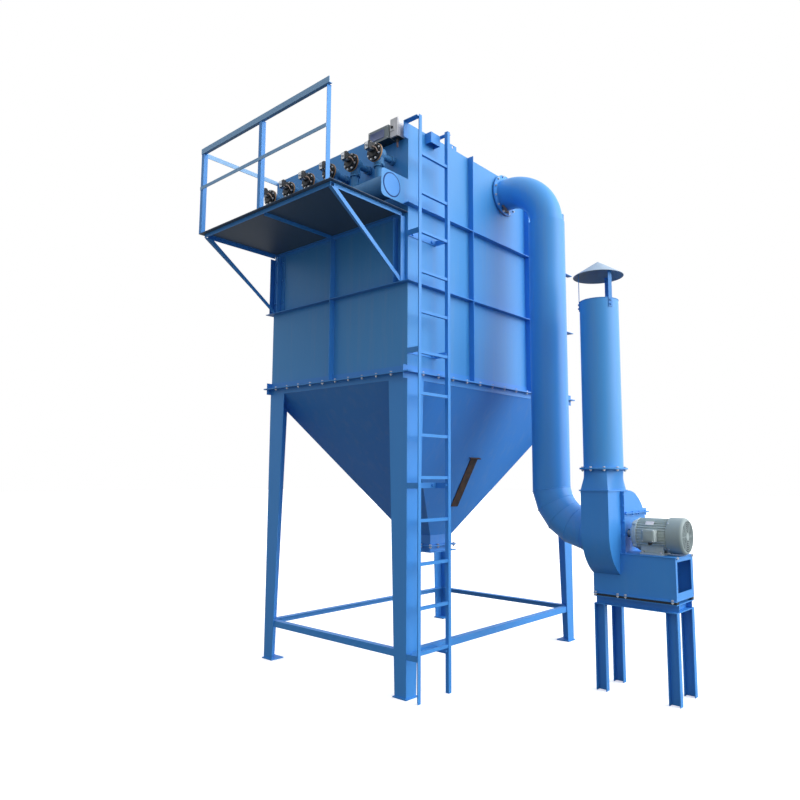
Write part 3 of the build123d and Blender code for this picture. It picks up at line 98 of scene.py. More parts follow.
class Facing(Enum):
    """Named directions of the object's frame."""

    RIGHT = Vector((1, 0, 0))
    LEFT = Vector((-1, 0, 0))
    BACK = Vector((0, 1, 0))
    FRONT = Vector((0, -1, 0))
    UP = Vector((0, 0, 1))
    DOWN = Vector((0, 0, -1))


def turned(direction: Vector) -> Matrix:
    """Return the rotation that takes +Z to a direction."""
    return direction.to_track_quat("Z", "Y").to_matrix().to_4x4()


def at(x: float, y: float, z: float, facing: Facing | Vector = Facing.UP, spin: float = 0.0) -> Matrix:
    """Place a shape in the plant.

    Args:
        x: Distance to the right, in millimetres.
        y: Distance to the back, in millimetres.
        z: Height, in millimetres.
        facing: Where the shape's own +Z points.
        spin: Turn about that direction, in degrees.

    Returns:
        The matrix for the shape's points.
    """
    way = facing.value if isinstance(facing, Facing) else facing
    return Matrix.Translation((x, y, z)) @ turned(way) @ Matrix.Rotation(math.radians(spin), 4, "Z")


def spread(count: int, first: float = 0.0) -> list[float]:
    """Return the angles of a pattern spread evenly round a circle, in radians."""
    return [2 * math.pi * (i + first) / count for i in range(count)]


def circle(centre: Vector, radius: float, count: int) -> list[Vector]:
    """Return the points of a level circle."""
    return [centre + radius * Vector((math.cos(a), math.sin(a), 0)) for a in spread(count)]


def any_turn() -> float:
    """Draw how far a fitter happened to turn a hexagon, in degrees."""
    return CHANCE.uniform(0, 60)


@dataclass(frozen=True)
class Plant:
    """Main planes and lines of the plant, in millimetres."""

    right: float = -5.0
    left: float = -1605.0
    front: float = 5.0
    back: float = 2405.0
    joint: float = 2292.0
    deck: float = 3498.0
    middle_x: float = -805.0
    middle_y: float = 1205.0
    duct_y: float = 1300.0
    fan_z: float = 1125.0


PLANT = Plant()


# Small forms


@dataclass(frozen=True)
class Shape:
    """Points and faces of one small form, in millimetres."""

    points: tuple[Vector, ...]
    faces: tuple[tuple[int, ...], ...]

    def moved(self, place: Matrix) -> "Shape":
        """Return the shape carried to another place."""
        return Shape(tuple(place @ point for point in self.points), self.faces)


def joined(*parts: Shape) -> Shape:
    """Put several shapes into one.

    Args:
        parts: The shapes, each where it belongs.

    Returns:
        One shape with all their points and faces.
    """
    points: list[Vector] = []
    faces: list[tuple[int, ...]] = []
    for part in parts:
        start = len(points)
        points += part.points
        faces += [tuple(start + i for i in face) for face in part.faces]
    return Shape(tuple(points), tuple(faces))


def rosette(shape: Shape, count: int, out: float) -> Shape:
    """Repeat a shape round +Z.

    Args:
        shape: The shape, on the axis.
        count: Number of copies.
        out: Distance of each copy from the axis.

    Returns:
        All copies as one shape.
    """
    step = Matrix.Translation((out, 0, 0))
    return joined(*(shape.moved(Matrix.Rotation(angle, 4, "Z") @ step) for angle in spread(count)))


def lathe(profile: Profile, sides: int = 24) -> Shape:
    """Turn a profile about +Z.

    Args:
        profile: Pairs of radius and height; a radius of nought closes an end.
        sides: Number of facets round the axis.

    Returns:
        The turned shape.
    """
    points: list[Vector] = []
    rings: list[list[int]] = []
    faces: list[tuple[int, ...]] = []
    for radius, height in profile:
        steps = sides if radius > 0 else 1
        rings.append(list(range(len(points), len(points) + steps)))
        for angle in spread(sides)[:steps]:
            points.append(Vector((radius * math.cos(angle), radius * math.sin(angle), height)))
    for low, high in zip(rings, rings[1:]):
        for i in range(sides):
            j = (i + 1) % sides
            corners = [low[i % len(low)], low[j % len(low)], high[j % len(high)], high[i % len(high)]]
            face = tuple(dict.fromkeys(corners))
            if len(face) > 2:
                faces.append(face)
    return Shape(tuple(points), tuple(faces))


def pad(width: float, depth: float, levels: Profile, corner: float = 2.0) -> Shape:
    """Stack rounded rectangles into a closed pad.

    Args:
        width: Size along the pad's own X.
        depth: Size along its own Y.
        levels: Pairs of height and inset, from the bottom up.
        corner: Corner radius.

    Returns:
        The pad, centred on its own Z axis.
    """
    quarters = ((1, 1), (-1, 1), (-1, -1), (1, -1))
    steps = 3
    least_bend = 0.2
    points: list[Vector] = []
    for height, inset in levels:
        bend = max(corner - inset, least_bend)
        for turn, (side_x, side_y) in enumerate(quarters):
            for step in range(steps):
                angle = math.radians(90 * turn + 90 * step / (steps - 1))
                x = side_x * (width / 2 - inset - bend) + bend * math.cos(angle)
                y = side_y * (depth / 2 - inset - bend) + bend * math.sin(angle)
                points.append(Vector((x, y, height)))
    count = len(quarters) * steps
    faces: list[tuple[int, ...]] = [tuple(reversed(range(count)))]
    for level in range(len(levels) - 1):
        low, high = level * count, (level + 1) * count
        faces += [(low + i, low + (i + 1) % count, high + (i + 1) % count, high + i) for i in range(count)]
    top = (len(levels) - 1) * count
    faces.append(tuple(range(top, top + count)))
    return Shape(tuple(points), tuple(faces))


def sweep(
    path: list[Vector], radius: float, sides: int = 8, closed: bool = False, ripple: float = 0.0
) -> Shape:
    """Carry a round section along a path.

    Args:
        path: Points of the middle line.
        radius: Radius of the section.
        sides: Number of facets round the section.
        closed: Whether the last point joins the first.
        ripple: Share by which every other ring is thicker, as in a weld bead.

    Returns:
        The swept shape.
    """
    count = len(path)
    points: list[Vector] = []
    normal = None
    for i, here in enumerate(path):
        before = path[i - 1] if i or closed else here
        after = path[(i + 1) % count] if i + 1 < count or closed else here
        tangent = (after - before).normalized()
        normal = tangent.orthogonal() if normal is None else normal - tangent * normal.dot(tangent)
        normal = normal.normalized()
        side = tangent.cross(normal)
        reach = radius * (1 + ripple * (i % 2))
        for angle in spread(sides):
            points.append(here + reach * (math.cos(angle) * normal + math.sin(angle) * side))
    faces: list[tuple[int, ...]] = []
    for i in range(count if closed else count - 1):
        low, high = i * sides, ((i + 1) % count) * sides
        faces += [(low + k, low + (k + 1) % sides, high + (k + 1) % sides, high + k) for k in range(sides)]
    if not closed:
        faces += [tuple(reversed(range(sides))), tuple(range((count - 1) * sides, count * sides))]
    return Shape(tuple(points), tuple(faces))


def straight(start: Vector, end: Vector, step: float) -> list[Vector]:
    """Divide a straight line into points about one step apart."""
    count = max(2, round((end - start).length / step))
    return [start.lerp(end, i / count) for i in range(count + 1)]


def bead(start: Vector, end: Vector, radius: float = 2.6) -> Shape:
    """Lay a rippled weld bead along a straight line."""
    return sweep(straight(start, end, 2.2 * radius), radius, 6, ripple=0.16)


def stitches(start: Vector, end: Vector, run: float = 45.0, pitch: float = 165.0) -> Shape:
    """Lay stitch welds along a straight line, as unevenly as a hand does.

    Args:
        start: First end of the line.
        end: Last end of the line.
        run: Length of one stitch.
        pitch: Distance from one stitch to the next.

    Returns:
        All the beads as one shape.
    """
    late, uneven = 18.0, 8.0
    way = (end - start).normalized()
    count = int(((end - start).length - run) / pitch) + 1
    firsts = [start + way * (i * pitch + CHANCE.uniform(0, late)) for i in range(count)]
    return joined(*(bead(first, first + way * (run + CHANCE.uniform(-uneven, uneven))) for first in firsts))


@dataclass(frozen=True)
class Bolt:
    """Hexagon bolt with washers, nut and thread end; its outlines are shares of its size."""

    size: float
    grip: float = 0.0
    washer: Profile = ((0, 0), (1.06, 0), (1.1, 0.05), (1.1, 0.15), (1.04, 0.2), (0, 0.2))
    cap: Profile = ((0, 0.2), (0.98, 0.2), (0.98, 0.74), (0.86, 0.86), (0, 0.88))
    hexagon: Profile = ((0, 0.2), (0.9, 0.2), (0.98, 0.28), (0.98, 0.92), (0.88, 1.0), (0, 1.0))
    thread: Profile = (
        (0.5, 1.0), (0.44, 1.06), (0.5, 1.13), (0.44, 1.2), (0.5, 1.27), (0.44, 1.34), (0.5, 1.41),
        (0.4, 1.52), (0, 1.54),
    )

    def grown(self, outline: Profile, sides: int) -> Shape:
        """Turn one outline at the bolt's own size."""
        return lathe([(radius * self.size, height * self.size) for radius, height in outline], sides)

    def head(self) -> Shape:
        """Make the head and its washer, seated at height nought."""
        return joined(self.grown(self.washer, 20), self.grown(self.cap, 6))

    def nut(self) -> Shape:
        """Make the washer, nut and thread end, seated at height nought."""
        seat = joined(self.grown(self.washer, 20), self.grown(self.hexagon, 6))
        return joined(seat, self.grown(self.thread, 12))

    def whole(self) -> Shape:
        """Make the bolt with its head at height nought and its nut under the grip."""
        below = Matrix.Translation((0, 0, -self.grip)) @ Matrix.Rotation(math.pi, 4, "X")
        return joined(self.head(), self.nut().moved(below))


# Finishes


@dataclass(frozen=True)
class Finish:
    """Name, two close tones and slot name that every finish has."""

    name: str
    body: str
    shade: str
    slot: str = field(default="", kw_only=True)

    def begin(self) -> tuple[bpy.types.Material, bpy.types.Node, bpy.types.NodeSocket]:
        """Make the empty material.

        Returns:
            The material, its shader and the socket of the object coordinates.
        """
        material = bpy.data.materials.new(self.name)
        material.use_nodes = True
        place = add_node(material.node_tree, "ShaderNodeTexCoord").outputs["Object"]
        return material, material.node_tree.nodes["Principled BSDF"], place

    def tones(self) -> dict:
        """Return the settings of a mix of the two tones."""
        return {"data_type": "RGBA", FIRST: linear(self.body), SECOND: linear(self.shade)}


@dataclass(frozen=True)
class Enamel(Finish):
    """Alkyd enamel sprayed on shot-blasted steel, or powder coat on a case.

    Gives the eye a satin, slightly wavy colour with soft reflections, a fine
    orange peel, a thin veil of dust that runs down, and a painted shade underneath.
    """

    roughness: float = 0.4
    patch_mm: float = 700.0
    wave_mm: float = 0.0
    wave_deep_mm: float = 1.2
    dust: float = 0.16
    dust_colour: str = "#8FA6BD"
    # Painted shade: faces that point down are mixed towards this colour, by this share.
    under_shade: str = "#2B4158"
    under_shade_share: float = 0.35
    ior: float = 1.5
    # Real orange peel is about 1.5 mm across and is drawn coarser here, so that it shows.
    peel_mm: float = 5.0
    peel_deep_mm: float = 0.3

    def build(self) -> bpy.types.Material:
        """Make the material.

        Returns:
            The node material.
        """
        material, shader, place = self.begin()
        tree = material.node_tree
        shader.inputs["IOR"].default_value = self.ior
        # Dust runs are about 70 mm apart and over a metre long.
        stretch = add_node(tree, "ShaderNodeMapping", {"Scale": (14.0, 14.0, 0.9)}, {"Vector": place})
        streaks = {"Scale": 1.0, "Detail": 6.0, "Roughness": 0.6}
        noise = add_node(tree, "ShaderNodeTexNoise", streaks, {"Vector": stretch.outputs["Vector"]})
        runs = noise.outputs["Fac"]
        tree.links.new(self.colour(tree, place, runs), shader.inputs["Base Color"])
        gloss = {"To Min": self.roughness - 0.05, "To Max": self.roughness + 0.14}
        dull = add_node(tree, "ShaderNodeMapRange", gloss, {"Value": runs})
        tree.links.new(dull.outputs["Result"], shader.inputs["Roughness"])
        tree.links.new(self.relief(tree, place), shader.inputs["Normal"])
        return material

    def colour(
        self, tree: bpy.types.NodeTree, place: bpy.types.NodeSocket, runs: bpy.types.NodeSocket
    ) -> bpy.types.NodeSocket:
        """Mix the paint's two tones, its dust and the painted shade on faces that point down.

        Args:
            tree: The node tree.
            place: Socket of the object coordinates.
            runs: Socket of the dust runs.

        Returns:
            The socket of the colour.
        """
        cloud = {"Scale": 1000 / self.patch_mm, "Detail": 4.0, "Roughness": 0.55}
        patches = add_node(tree, "ShaderNodeTexNoise", cloud, {"Vector": place})
        paint = add_node(tree, "ShaderNodeMix", self.tones(), {0: patches.outputs["Fac"]})
        thin = {"From Min": 0.5, "From Max": 0.8, "To Min": 0.0, "To Max": self.dust}
        veil = add_node(tree, "ShaderNodeMapRange", thin, {"Value": runs})
        dirt = {"data_type": "RGBA", SECOND: linear(self.dust_colour)}
        dusty = add_node(
            tree, "ShaderNodeMix", dirt, {0: veil.outputs["Result"], FIRST: paint.outputs[MIXED]}
        )
        normal = add_node(tree, "ShaderNodeNewGeometry").outputs["Normal"]
        height = add_node(tree, "ShaderNodeSeparateXYZ", {}, {0: normal}).outputs["Z"]
        # Painted shade: faces that point down take the under colour, standing in for the shade below.
        below = {"From Min": -0.95, "From Max": -0.72, "To Min": self.under_shade_share, "To Max": 0.0}
        painted_shade_share = add_node(tree, "ShaderNodeMapRange", below, {"Value": height})
        grime_and_painted_shade = {"data_type": "RGBA", SECOND: linear(self.under_shade)}
        painted_shade_mix = add_node(
            tree, "ShaderNodeMix", grime_and_painted_shade, {0: painted_shade_share.outputs["Result"], FIRST: dusty.outputs[MIXED]}
        )
        return painted_shade_mix.outputs[MIXED]

    def relief(self, tree: bpy.types.NodeTree, place: bpy.types.NodeSocket) -> bpy.types.NodeSocket:
        """Raise the orange peel, and the slow waves of thin sheet where it has them.

        Args:
            tree: The node tree.
            place: Socket of the object coordinates.

        Returns:
            The socket of the bumped normal.
        """
        fine = {"Scale": 1000 / self.peel_mm, "Detail": 2.0}
        peel = add_node(tree, "ShaderNodeTexNoise", fine, {"Vector": place})
        low = {"Strength": 0.12, "Distance": self.peel_deep_mm * MM}
        bump = add_node(tree, "ShaderNodeBump", low, {"Height": peel.outputs["Fac"]})
        if self.wave_mm:
            swell = {"Scale": 1000 / self.wave_mm, "Detail": 1.0, "Roughness": 0.4}
            wave = add_node(tree, "ShaderNodeTexNoise", swell, {"Vector": place})
            deep = {"Strength": 1.0, "Distance": self.wave_deep_mm * MM}
            heights = {"Height": wave.outputs["Fac"], "Normal": bump.outputs["Normal"]}
            bump = add_node(tree, "ShaderNodeBump", deep, heights)
        return bump.outputs["Normal"]


@dataclass(frozen=True)
class ChequerPaint(Finish):
    """Enamel over hot-rolled chequer plate.

    The raised lozenges catch small lights on the walking side of the deck,
    and its flat underside is dull, with a painted shade.
    """

    # Colour of the painted shade on the deck's underside.
    under_shade: str = "#3A4C5E"
    roughness: float = 0.5
    pitch_mm: float = 30.0
    lozenge_deep_mm: float = 1.5

    def build(self) -> bpy.types.Material:
        """Make the material.

        Returns:
            The node material.
        """
        material, shader, place = self.begin()
        tree = material.node_tree
        shader.inputs["Roughness"].default_value = self.roughness
        normal = add_node(tree, "ShaderNodeNewGeometry").outputs["Normal"]
        height = add_node(tree, "ShaderNodeSeparateXYZ", {}, {0: normal}).outputs["Z"]
        top = add_node(tree, "ShaderNodeMapRange", {"From Min": -0.5, "From Max": 0.5}, {"Value": height})
        rows = []
        for turn in (45, -45):
            slant = {"Rotation": (0.0, 0.0, math.radians(turn))}
            skew = add_node(tree, "ShaderNodeMapping", slant, {"Vector": place}).outputs["Vector"]
            # A wave's full turn is two pi at scale one, so the bars lie one pitch apart.
            ribs = {"Scale": 1000 / (self.pitch_mm * 2 * math.pi), "Distortion": 0.0, "Detail": 0.0}
            rows.append(add_node(tree, "ShaderNodeTexWave", ribs, {"Vector": skew}).outputs["Fac"])
        times = {"operation": "MULTIPLY"}
        both = add_node(tree, "ShaderNodeMath", times, {0: rows[0], 1: rows[1]}).outputs[0]
        edge = {"From Min": 0.45, "From Max": 0.6}
        lozenge = add_node(tree, "ShaderNodeMapRange", edge, {"Value": both}).outputs["Result"]
        raised = add_node(tree, "ShaderNodeMath", times, {0: lozenge, 1: top.outputs["Result"]})
        tall = {"Strength": 0.7, "Distance": self.lozenge_deep_mm * MM}
        bump = add_node(tree, "ShaderNodeBump", tall, {"Height": raised.outputs[0]})
        tree.links.new(bump.outputs["Normal"], shader.inputs["Normal"])
        # Worn patches are about 200 mm across, as wide as a step.
        patches = {"Scale": 5.0, "Detail": 6.0, "Roughness": 0.6}
        grime_and_painted_shade = add_node(tree, "ShaderNodeTexNoise", patches, {"Vector": place})
        walked = add_node(tree, "ShaderNodeMix", self.tones(), {0: grime_and_painted_shade.outputs["Fac"]})
        # Painted shade: the underside and the lower sides take the under colour.
        dull = {"data_type": "RGBA", FIRST: linear(self.under_shade)}
        sides = {0: top.outputs["Result"], SECOND: walked.outputs[MIXED]}
        both_sides = add_node(tree, "ShaderNodeMix", dull, sides)
        tree.links.new(both_sides.outputs[MIXED], shader.inputs["Base Color"])
        return material


@dataclass(frozen=True)
class BareMetal(Finish):
    """Plated, drawn or rusted metal with fine grain.

    Zinc plating reads as a pale sparkling grey, drawn copper as a dulled
    pink, and old flat bar as brown rust over dark scale.
    """

    roughness: float
    grain_mm: float
    grain_deep_mm: float = 0.1
    metallic: float = 1.0
    stain_mm: float = 38.0

    def build(self) -> bpy.types.Material:
        """Make the material.

        Returns:
            The node material.
        """
        material, shader, place = self.begin()
        tree = material.node_tree
        shader.inputs["Metallic"].default_value = self.metallic
        # Real grain is under a millimetre and is drawn coarser here, so that it shows.
        sand = {"Scale": 1000 / self.grain_mm, "Detail": 5.0, "Roughness": 0.6}
        grain = add_node(tree, "ShaderNodeTexNoise", sand, {"Vector": place}).outputs["Fac"]
        cloud = {"Scale": 1000 / self.stain_mm, "Detail": 4.0}
        stain = add_node(tree, "ShaderNodeTexNoise", cloud, {"Vector": place}).outputs["Fac"]
        edge = {"From Min": 0.35, "From Max": 0.65}
        share = add_node(tree, "ShaderNodeMapRange", edge, {"Value": stain}).outputs["Result"]
        mix = add_node(tree, "ShaderNodeMix", self.tones(), {0: share})
        tree.links.new(mix.outputs[MIXED], shader.inputs["Base Color"])
        gloss = {"To Min": self.roughness - 0.08, "To Max": self.roughness + 0.12}
        rough = add_node(tree, "ShaderNodeMapRange", gloss, {"Value": grain})
        tree.links.new(rough.outputs["Result"], shader.inputs["Roughness"])
        skin = {"Strength": 0.6, "Distance": self.grain_deep_mm * MM}
        bump = add_node(tree, "ShaderNodeBump", skin, {"Height": grain})
        tree.links.new(bump.outputs["Normal"], shader.inputs["Normal"])
        return material


@dataclass(frozen=True)
class Moulded(Finish):
    """Moulded plastic, rubber, fibre, mastic or powder coat with a textured skin.

    The fine texture breaks up the highlight and keeps flat faces from
    looking like glass.
    """

    roughness: float
    ior: float = 1.5
    texture_mm: float = 1.5
    texture_deep_mm: float = 0.08

    def build(self) -> bpy.types.Material:
        """Make the material.

        Returns:
            The node material.
        """
        material, shader, place = self.begin()
        tree = material.node_tree
        shader.inputs["IOR"].default_value = self.ior
        shader.inputs["Roughness"].default_value = self.roughness
        # The two tones drift into each other about every 70 mm.
        drift = {"Scale": 14.0, "Detail": 5.0, "Roughness": 0.6}
        cloud = add_node(tree, "ShaderNodeTexNoise", drift, {"Vector": place})
        mix = add_node(tree, "ShaderNodeMix", self.tones(), {0: cloud.outputs["Fac"]})
        tree.links.new(mix.outputs[MIXED], shader.inputs["Base Color"])
        cells = {"Scale": 1000 / self.texture_mm}
        skin = add_node(tree, "ShaderNodeTexVoronoi", cells, {"Vector": place})
        fine = {"Strength": 0.4, "Distance": self.texture_deep_mm * MM}
        bump = add_node(tree, "ShaderNodeBump", fine, {"Height": skin.outputs["Distance"]})
        tree.links.new(bump.outputs["Normal"], shader.inputs["Normal"])
        return material


class Coat(Enum):
    """Every finish of the plant."""

    # Enamel sprayed on 4 mm sheet: satin blue that swells slowly between the stiffeners.
    PLATE = Enamel(
        "satin_enamel_on_plate", "#449ADE", "#3C90D6", 0.42,
        wave_mm=420.0, wave_deep_mm=2.4, slot="blue_paint",
    )
    # The same enamel on rolled angle and flat bar: crisp, clean and a shade deeper.
    SECTION = Enamel(
        "satin_enamel_on_rolled_section", "#4398E6", "#3A8EDE", 0.42,
        patch_mm=300.0, dust=0.06, slot="blue_paint",
    )
    # Enamel on the sloping hopper sheet: a little duller, and painted deeper as painted shade, since it
    # hangs in the shade.
    HOPPER = Enamel(
        "satin_enamel_on_hopper_plate", "#3A88D8", "#337FD0", 0.46,
        wave_mm=500.0, slot="blue_paint",
    )
    # Enamel on rolled sheet: the brightest blue, with long highlights and small flats.
    DUCT = Enamel(
        "satin_enamel_on_rolled_sheet", "#4EA6F0", "#459AE6", 0.36,
        wave_mm=160.0, wave_deep_mm=0.5, slot="duct_paint",
    )
    # Enamel on the rail angles, matt, and painted pale as painted light where the rails stand in the open.
    RAIL = Enamel("enamel_on_rail_angle_painted_light", "#8FBEE8", "#7FAAD4", 0.5, patch_mm=400.0, dust=0.1)
    # Chalked enamel on the rain cap: greyish, with a painted shade on the inside faces that point down.
    CAP = Enamel(
        "weathered_enamel_on_cap", "#B2C6DA", "#9DB4CC", 0.5,
        patch_mm=120.0, dust=0.35, under_shade="#26384C", under_shade_share=1.0,
    )
    # Enamel over a sand casting and its pipes: mottled and dull, painted deeper than the plate enamel as
    # painted shade.
    VALVE = Enamel(
        "dull_enamel_on_casting", "#4088BE", "#3274AA", 0.5,
        patch_mm=60.0, dust=0.15, slot="blue_paint",
    )
    # Enamel on chequer plate: worn where it is walked on, with a painted shade underneath.
    DECK = ChequerPaint("enamel_on_chequer_plate", "#2C5079", "#3C5266")
    # Zinc plating on bolts: pale grey with small sharp lights.
    ZINC = BareMetal("zinc_plated_steel", "#D9DCE0", "#B4B9BF", 0.32, 4.0)
    # Drawn copper tube that has dulled: pinkish, with soft lights.
    COPPER = BareMetal("drawn_copper_tube_dulled", "#D2BCB0", "#A8938A", 0.4, 2.0)
    # Hot-rolled bar left bare: brown rust in patches over dark scale, no shine.
    RUST = BareMetal(
        "rusted_hot_rolled_bar", "#4A3226", "#2A2220", 0.75, 3.0,
        grain_deep_mm=0.3, metallic=0.0, stain_mm=60.0, slot="bare_steel",
    )
    # Black enamel on die castings: near black with a soft sheen.
    COVER = Moulded("black_enamel_on_die_casting", "#1A1B1E", "#242629", 0.38, slot="valve_black")
    # Glass-filled nylon, moulded: dark grey with a fine grain.
    COIL = Moulded("glass_filled_nylon_moulded", "#34373A", "#26282B", 0.5, slot="pilot_grey")
    # Fibre gasket, punched: buff and matt, a bright line between dark parts.
    GASKET = Moulded(
        "fibre_gasket_cut", "#C39A6C", "#9A7650", 0.75,
        texture_mm=2.5, texture_deep_mm=0.2,
    )
    # Rubber strip, cut: blue-black and matt.
    RUBBER = Moulded("cut_rubber_strip", "#16222F", "#1E2B3A", 0.6, slot="strip_rubber")
    # Sealing compound smeared by hand: lumpy and brownish grey.
    COMPOUND = Moulded(
        "sealing_compound_smeared", "#9A8A80", "#7C7070", 0.8,
        texture_mm=9.0, texture_deep_mm=2.0,
    )
    # Painted shadow: a deep blue ring round the header tank on each end wall, for the shade in the gap
    # there.
    GROOVE_SHADOW = Moulded("painted_groove_shadow", "#0E3A7A", "#13448A", 0.85)
    # Powder coat on a small steel case: even grey, with a painted shade underneath.
    BOX_GREY = Enamel(
        "powder_coat_on_case", "#8A9498", "#7D888D",
        dust=0.1, under_shade="#1C2624", under_shade_share=1.0, slot="box_grey",
    )
    # Powder coat on the bare lid: bluish grey and finely textured.
    LID_GREY = Moulded("powder_coated_lid", "#7480AC", "#6A769F", 0.42, texture_mm=1.2)
    # White powder coat: nearly clean, with a painted shade underneath.
    BOX_WHITE = Enamel(
        "white_powder_coat_on_case", "#EDEBEC", "#DFDDE0",
        dust=0.05, under_shade="#1C2624", under_shade_share=1.0, slot="box_white",
    )
    # Phenolic resin, moulded: black with a clear shine.
    KNOB = Moulded("phenolic_knob_moulded", "#1E2126", "#2B2F36", 0.3)
    # Soft plastic plug, moulded: reddish grey and matt.
    PLUG = Moulded("red_grey_plug_moulded", "#7F6466", "#66504F", 0.5)
    # Enamel on ribbed cast iron: pale green-grey, dust in the valleys, painted shade on downward faces.
    MOTOR = Enamel(
        "enamel_on_cast_motor", "#D2DEDC", "#C2CFCE", 0.44,
        patch_mm=60.0, dust=0.25, dust_colour="#A8A89C", under_shade="#3C4648",
        slot="motor_green",
    )
    # Enamel on pressed sheet: smoother and darker than the casting, painted shade on downward faces.
    COWL = Enamel(
        "enamel_on_pressed_cowl", "#9CACAE", "#90A1A3", 0.4,
        patch_mm=90.0, dust=0.25, dust_colour="#B5B2A4", under_shade="#4A5456",
        slot="cowl_green",
    )
    # Inside of the cowl, which no light reaches: near black.
    DARK = Moulded("unlit_inside_of_sheet", "#0D1A2B", "#13253C", 0.7)


@dataclass
class Palette:
    """The node material of each coat, built once."""

    made: dict[Coat, bpy.types.Material] = field(default_factory=dict)

    def build(self) -> "Palette":
        """Make all materials and return the palette."""
        self.made = {coat: coat.value.build() for coat in Coat}
        return self

    def dress(self, node: str, coat: Coat) -> None:
        """Give a CAD node one finish.

        Args:
            node: Name of the CAD node.
            coat: The finish.
        """
        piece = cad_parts[node]
        if not piece.material_slots:
            piece.data.materials.append(self.made[coat])
        for place in piece.material_slots:
            place.material = self.made[coat]


@dataclass
class Batch:
    """One named piece gathered from many small shapes."""

    name: str
    coat: Coat
    palette: Palette
    mesh: bmesh.types.BMesh = field(default_factory=bmesh.new)

    def add(self, shape: Shape, place: Matrix | None = None) -> None:
        """Add one shape.

        Args:
            shape: The shape, in millimetres.
            place: Where it goes; where it stands if left out.
        """
        points = [place @ point for point in shape.points] if place else shape.points
        made = [self.mesh.verts.new(point * MM) for point in points]
        for face in shape.faces:
            self.mesh.faces.new([made[i] for i in face])

    def close(self, sharp: float = 38.0) -> bpy.types.Object:
        """Turn the gathered shapes into one piece that rides on the plant.

        Args:
            sharp: Angle in degrees above which an edge stays sharp.

        Returns:
            The new piece.
        """
        bmesh.ops.recalc_face_normals(self.mesh, faces=self.mesh.faces)
        data = bpy.data.meshes.new(self.name)
        self.mesh.to_mesh(data)
        self.mesh.free()
        data.materials.append(self.palette.made[self.coat])
        data.shade_smooth()
        data.set_sharp_from_angle(angle=math.radians(sharp))
        piece = bpy.data.objects.new(self.name, data)
        bpy.context.scene.collection.objects.link(piece)
        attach(piece, "root")
        LOG.info("built %s, %d faces", self.name, len(data.polygons))
        return piece


# Sub-assemblies


@dataclass
class SubAssembly:
    """A part of the plant that the scene dresses with pieces of its own."""

    palette: Palette

    def batch(self, name: str, coat: Coat) -> Batch:
        """Start one named piece in a coat."""
        return Batch(name, coat, self.palette)


@dataclass
class Bodywork(SubAssembly):
    """The CAD nodes themselves, each in its own finish."""

    plain: Coat = Coat.SECTION
    coats: dict[Coat, tuple[str, ...]] = field(
        default_factory=lambda: {
            Coat.PLATE: ("front_wall", "right_wall", "left_wall", "back_wall", "roof_plate"),
            Coat.HOPPER: ("hopper_front", "hopper_right", "hopper_left", "hopper_back"),
            Coat.DUCT: ("duct_collar", "upper_elbow", "duct_riser", "lower_elbow", "exhaust_stack"),
            Coat.RAIL: ("top_rail", "mid_rail", "side_rail"),
            Coat.VALVE: ("header_tank", "valve_bodies", "valve_pipes"),
            Coat.RUST: ("hopper_bar",),
            Coat.DECK: ("platform_deck",),
            Coat.COVER: ("valve_covers",),
            Coat.COIL: ("pilot_solenoids",),
            Coat.BOX_GREY: ("controller_box",),
            Coat.BOX_WHITE: ("switch_box",),
            Coat.RUBBER: ("isolating_strips",),
            Coat.MOTOR: ("motor_body",),
            Coat.COWL: ("motor_cowl",),
            Coat.CAP: ("rain_cap",),
        }
    )

    def build(self) -> None:
        """Give every CAD node its finish."""
        special = {node: coat for coat, nodes in self.coats.items() for node in nodes}
        for node in sorted(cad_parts):
            self.palette.dress(node, special.get(node, self.plain))
            LOG.info("dressed %s", node)


@dataclass
class JointFlange(SubAssembly):
    """Bolts of the angle frames between housing and hopper."""

    bolt: Bolt = Bolt(10.0, 10.0)
    line_out: float = 30.0
    side_first: float = 148.0
    side_pitch: float = 181.0
    side_count: int = 13
    end_first: float = -138.0
    end_pitch: float = 152.0
    end_count: int = 10
    leg: float = 5.0

    def build(self) -> None:
        """Set the bolts on all four sides."""
        bolts = self.batch("flange_bolts", Coat.ZINC)
        whole = self.bolt.whole()
        top = PLANT.joint + self.leg
        for i in range(self.side_count):
            y = self.side_first + i * self.side_pitch
            for x in (PLANT.right + self.line_out, PLANT.left - self.line_out):
                bolts.add(whole, at(x, y, top, spin=any_turn()))
        for i in range(self.end_count):
            x = self.end_first - i * self.end_pitch
            for y in (PLANT.front - self.line_out, PLANT.back + self.line_out):
                bolts.add(whole, at(x, y, top, spin=any_turn()))
        bolts.close()


@dataclass
class WallWelds(SubAssembly):
    """Stitch welds along the stiffening bars of the housing."""

    bar: float = 6.0
    low_bar: float = 2966.0
    high_bar: float = 3555.0
    side_off: float = 436.0
    side_run: tuple[float, float] = (60.0, 2360.0)
    end_margins: tuple[float, float] = (40.0, 120.0)
    top: float = 4195.0
    foot: float = 2350.0
    under_deck: float = 60.0

    def build(self) -> None:
        """Lay the stitches on both long walls and both ends."""
        welds = self.batch("stiffener_welds", Coat.SECTION)
        half = self.bar / 2
        front, back = self.side_run
        for x in (PLANT.right, PLANT.left):
            for z in (self.low_bar, self.low_bar - self.bar, self.high_bar, self.high_bar - self.bar):
                welds.add(stitches(Vector((x, front, z)), Vector((x, back, z))))
            for middle in (PLANT.middle_y - self.side_off, PLANT.middle_y + self.side_off):
                for y in (middle - half, middle + half):
                    welds.add(stitches(Vector((x, y, self.foot)), Vector((x, y, self.top))))
        left, right = PLANT.left + self.end_margins[0], PLANT.right - self.end_margins[1]
        for y in (PLANT.front, PLANT.back):
            for z in (self.low_bar, self.low_bar - self.bar):
                welds.add(stitches(Vector((left, y, z)), Vector((right, y, z))))
            for x in (PLANT.middle_x - half, PLANT.middle_x + half):
                end = Vector((x, y, PLANT.deck - self.under_deck))
                welds.add(stitches(Vector((x, y, self.foot)), end))
        welds.close()


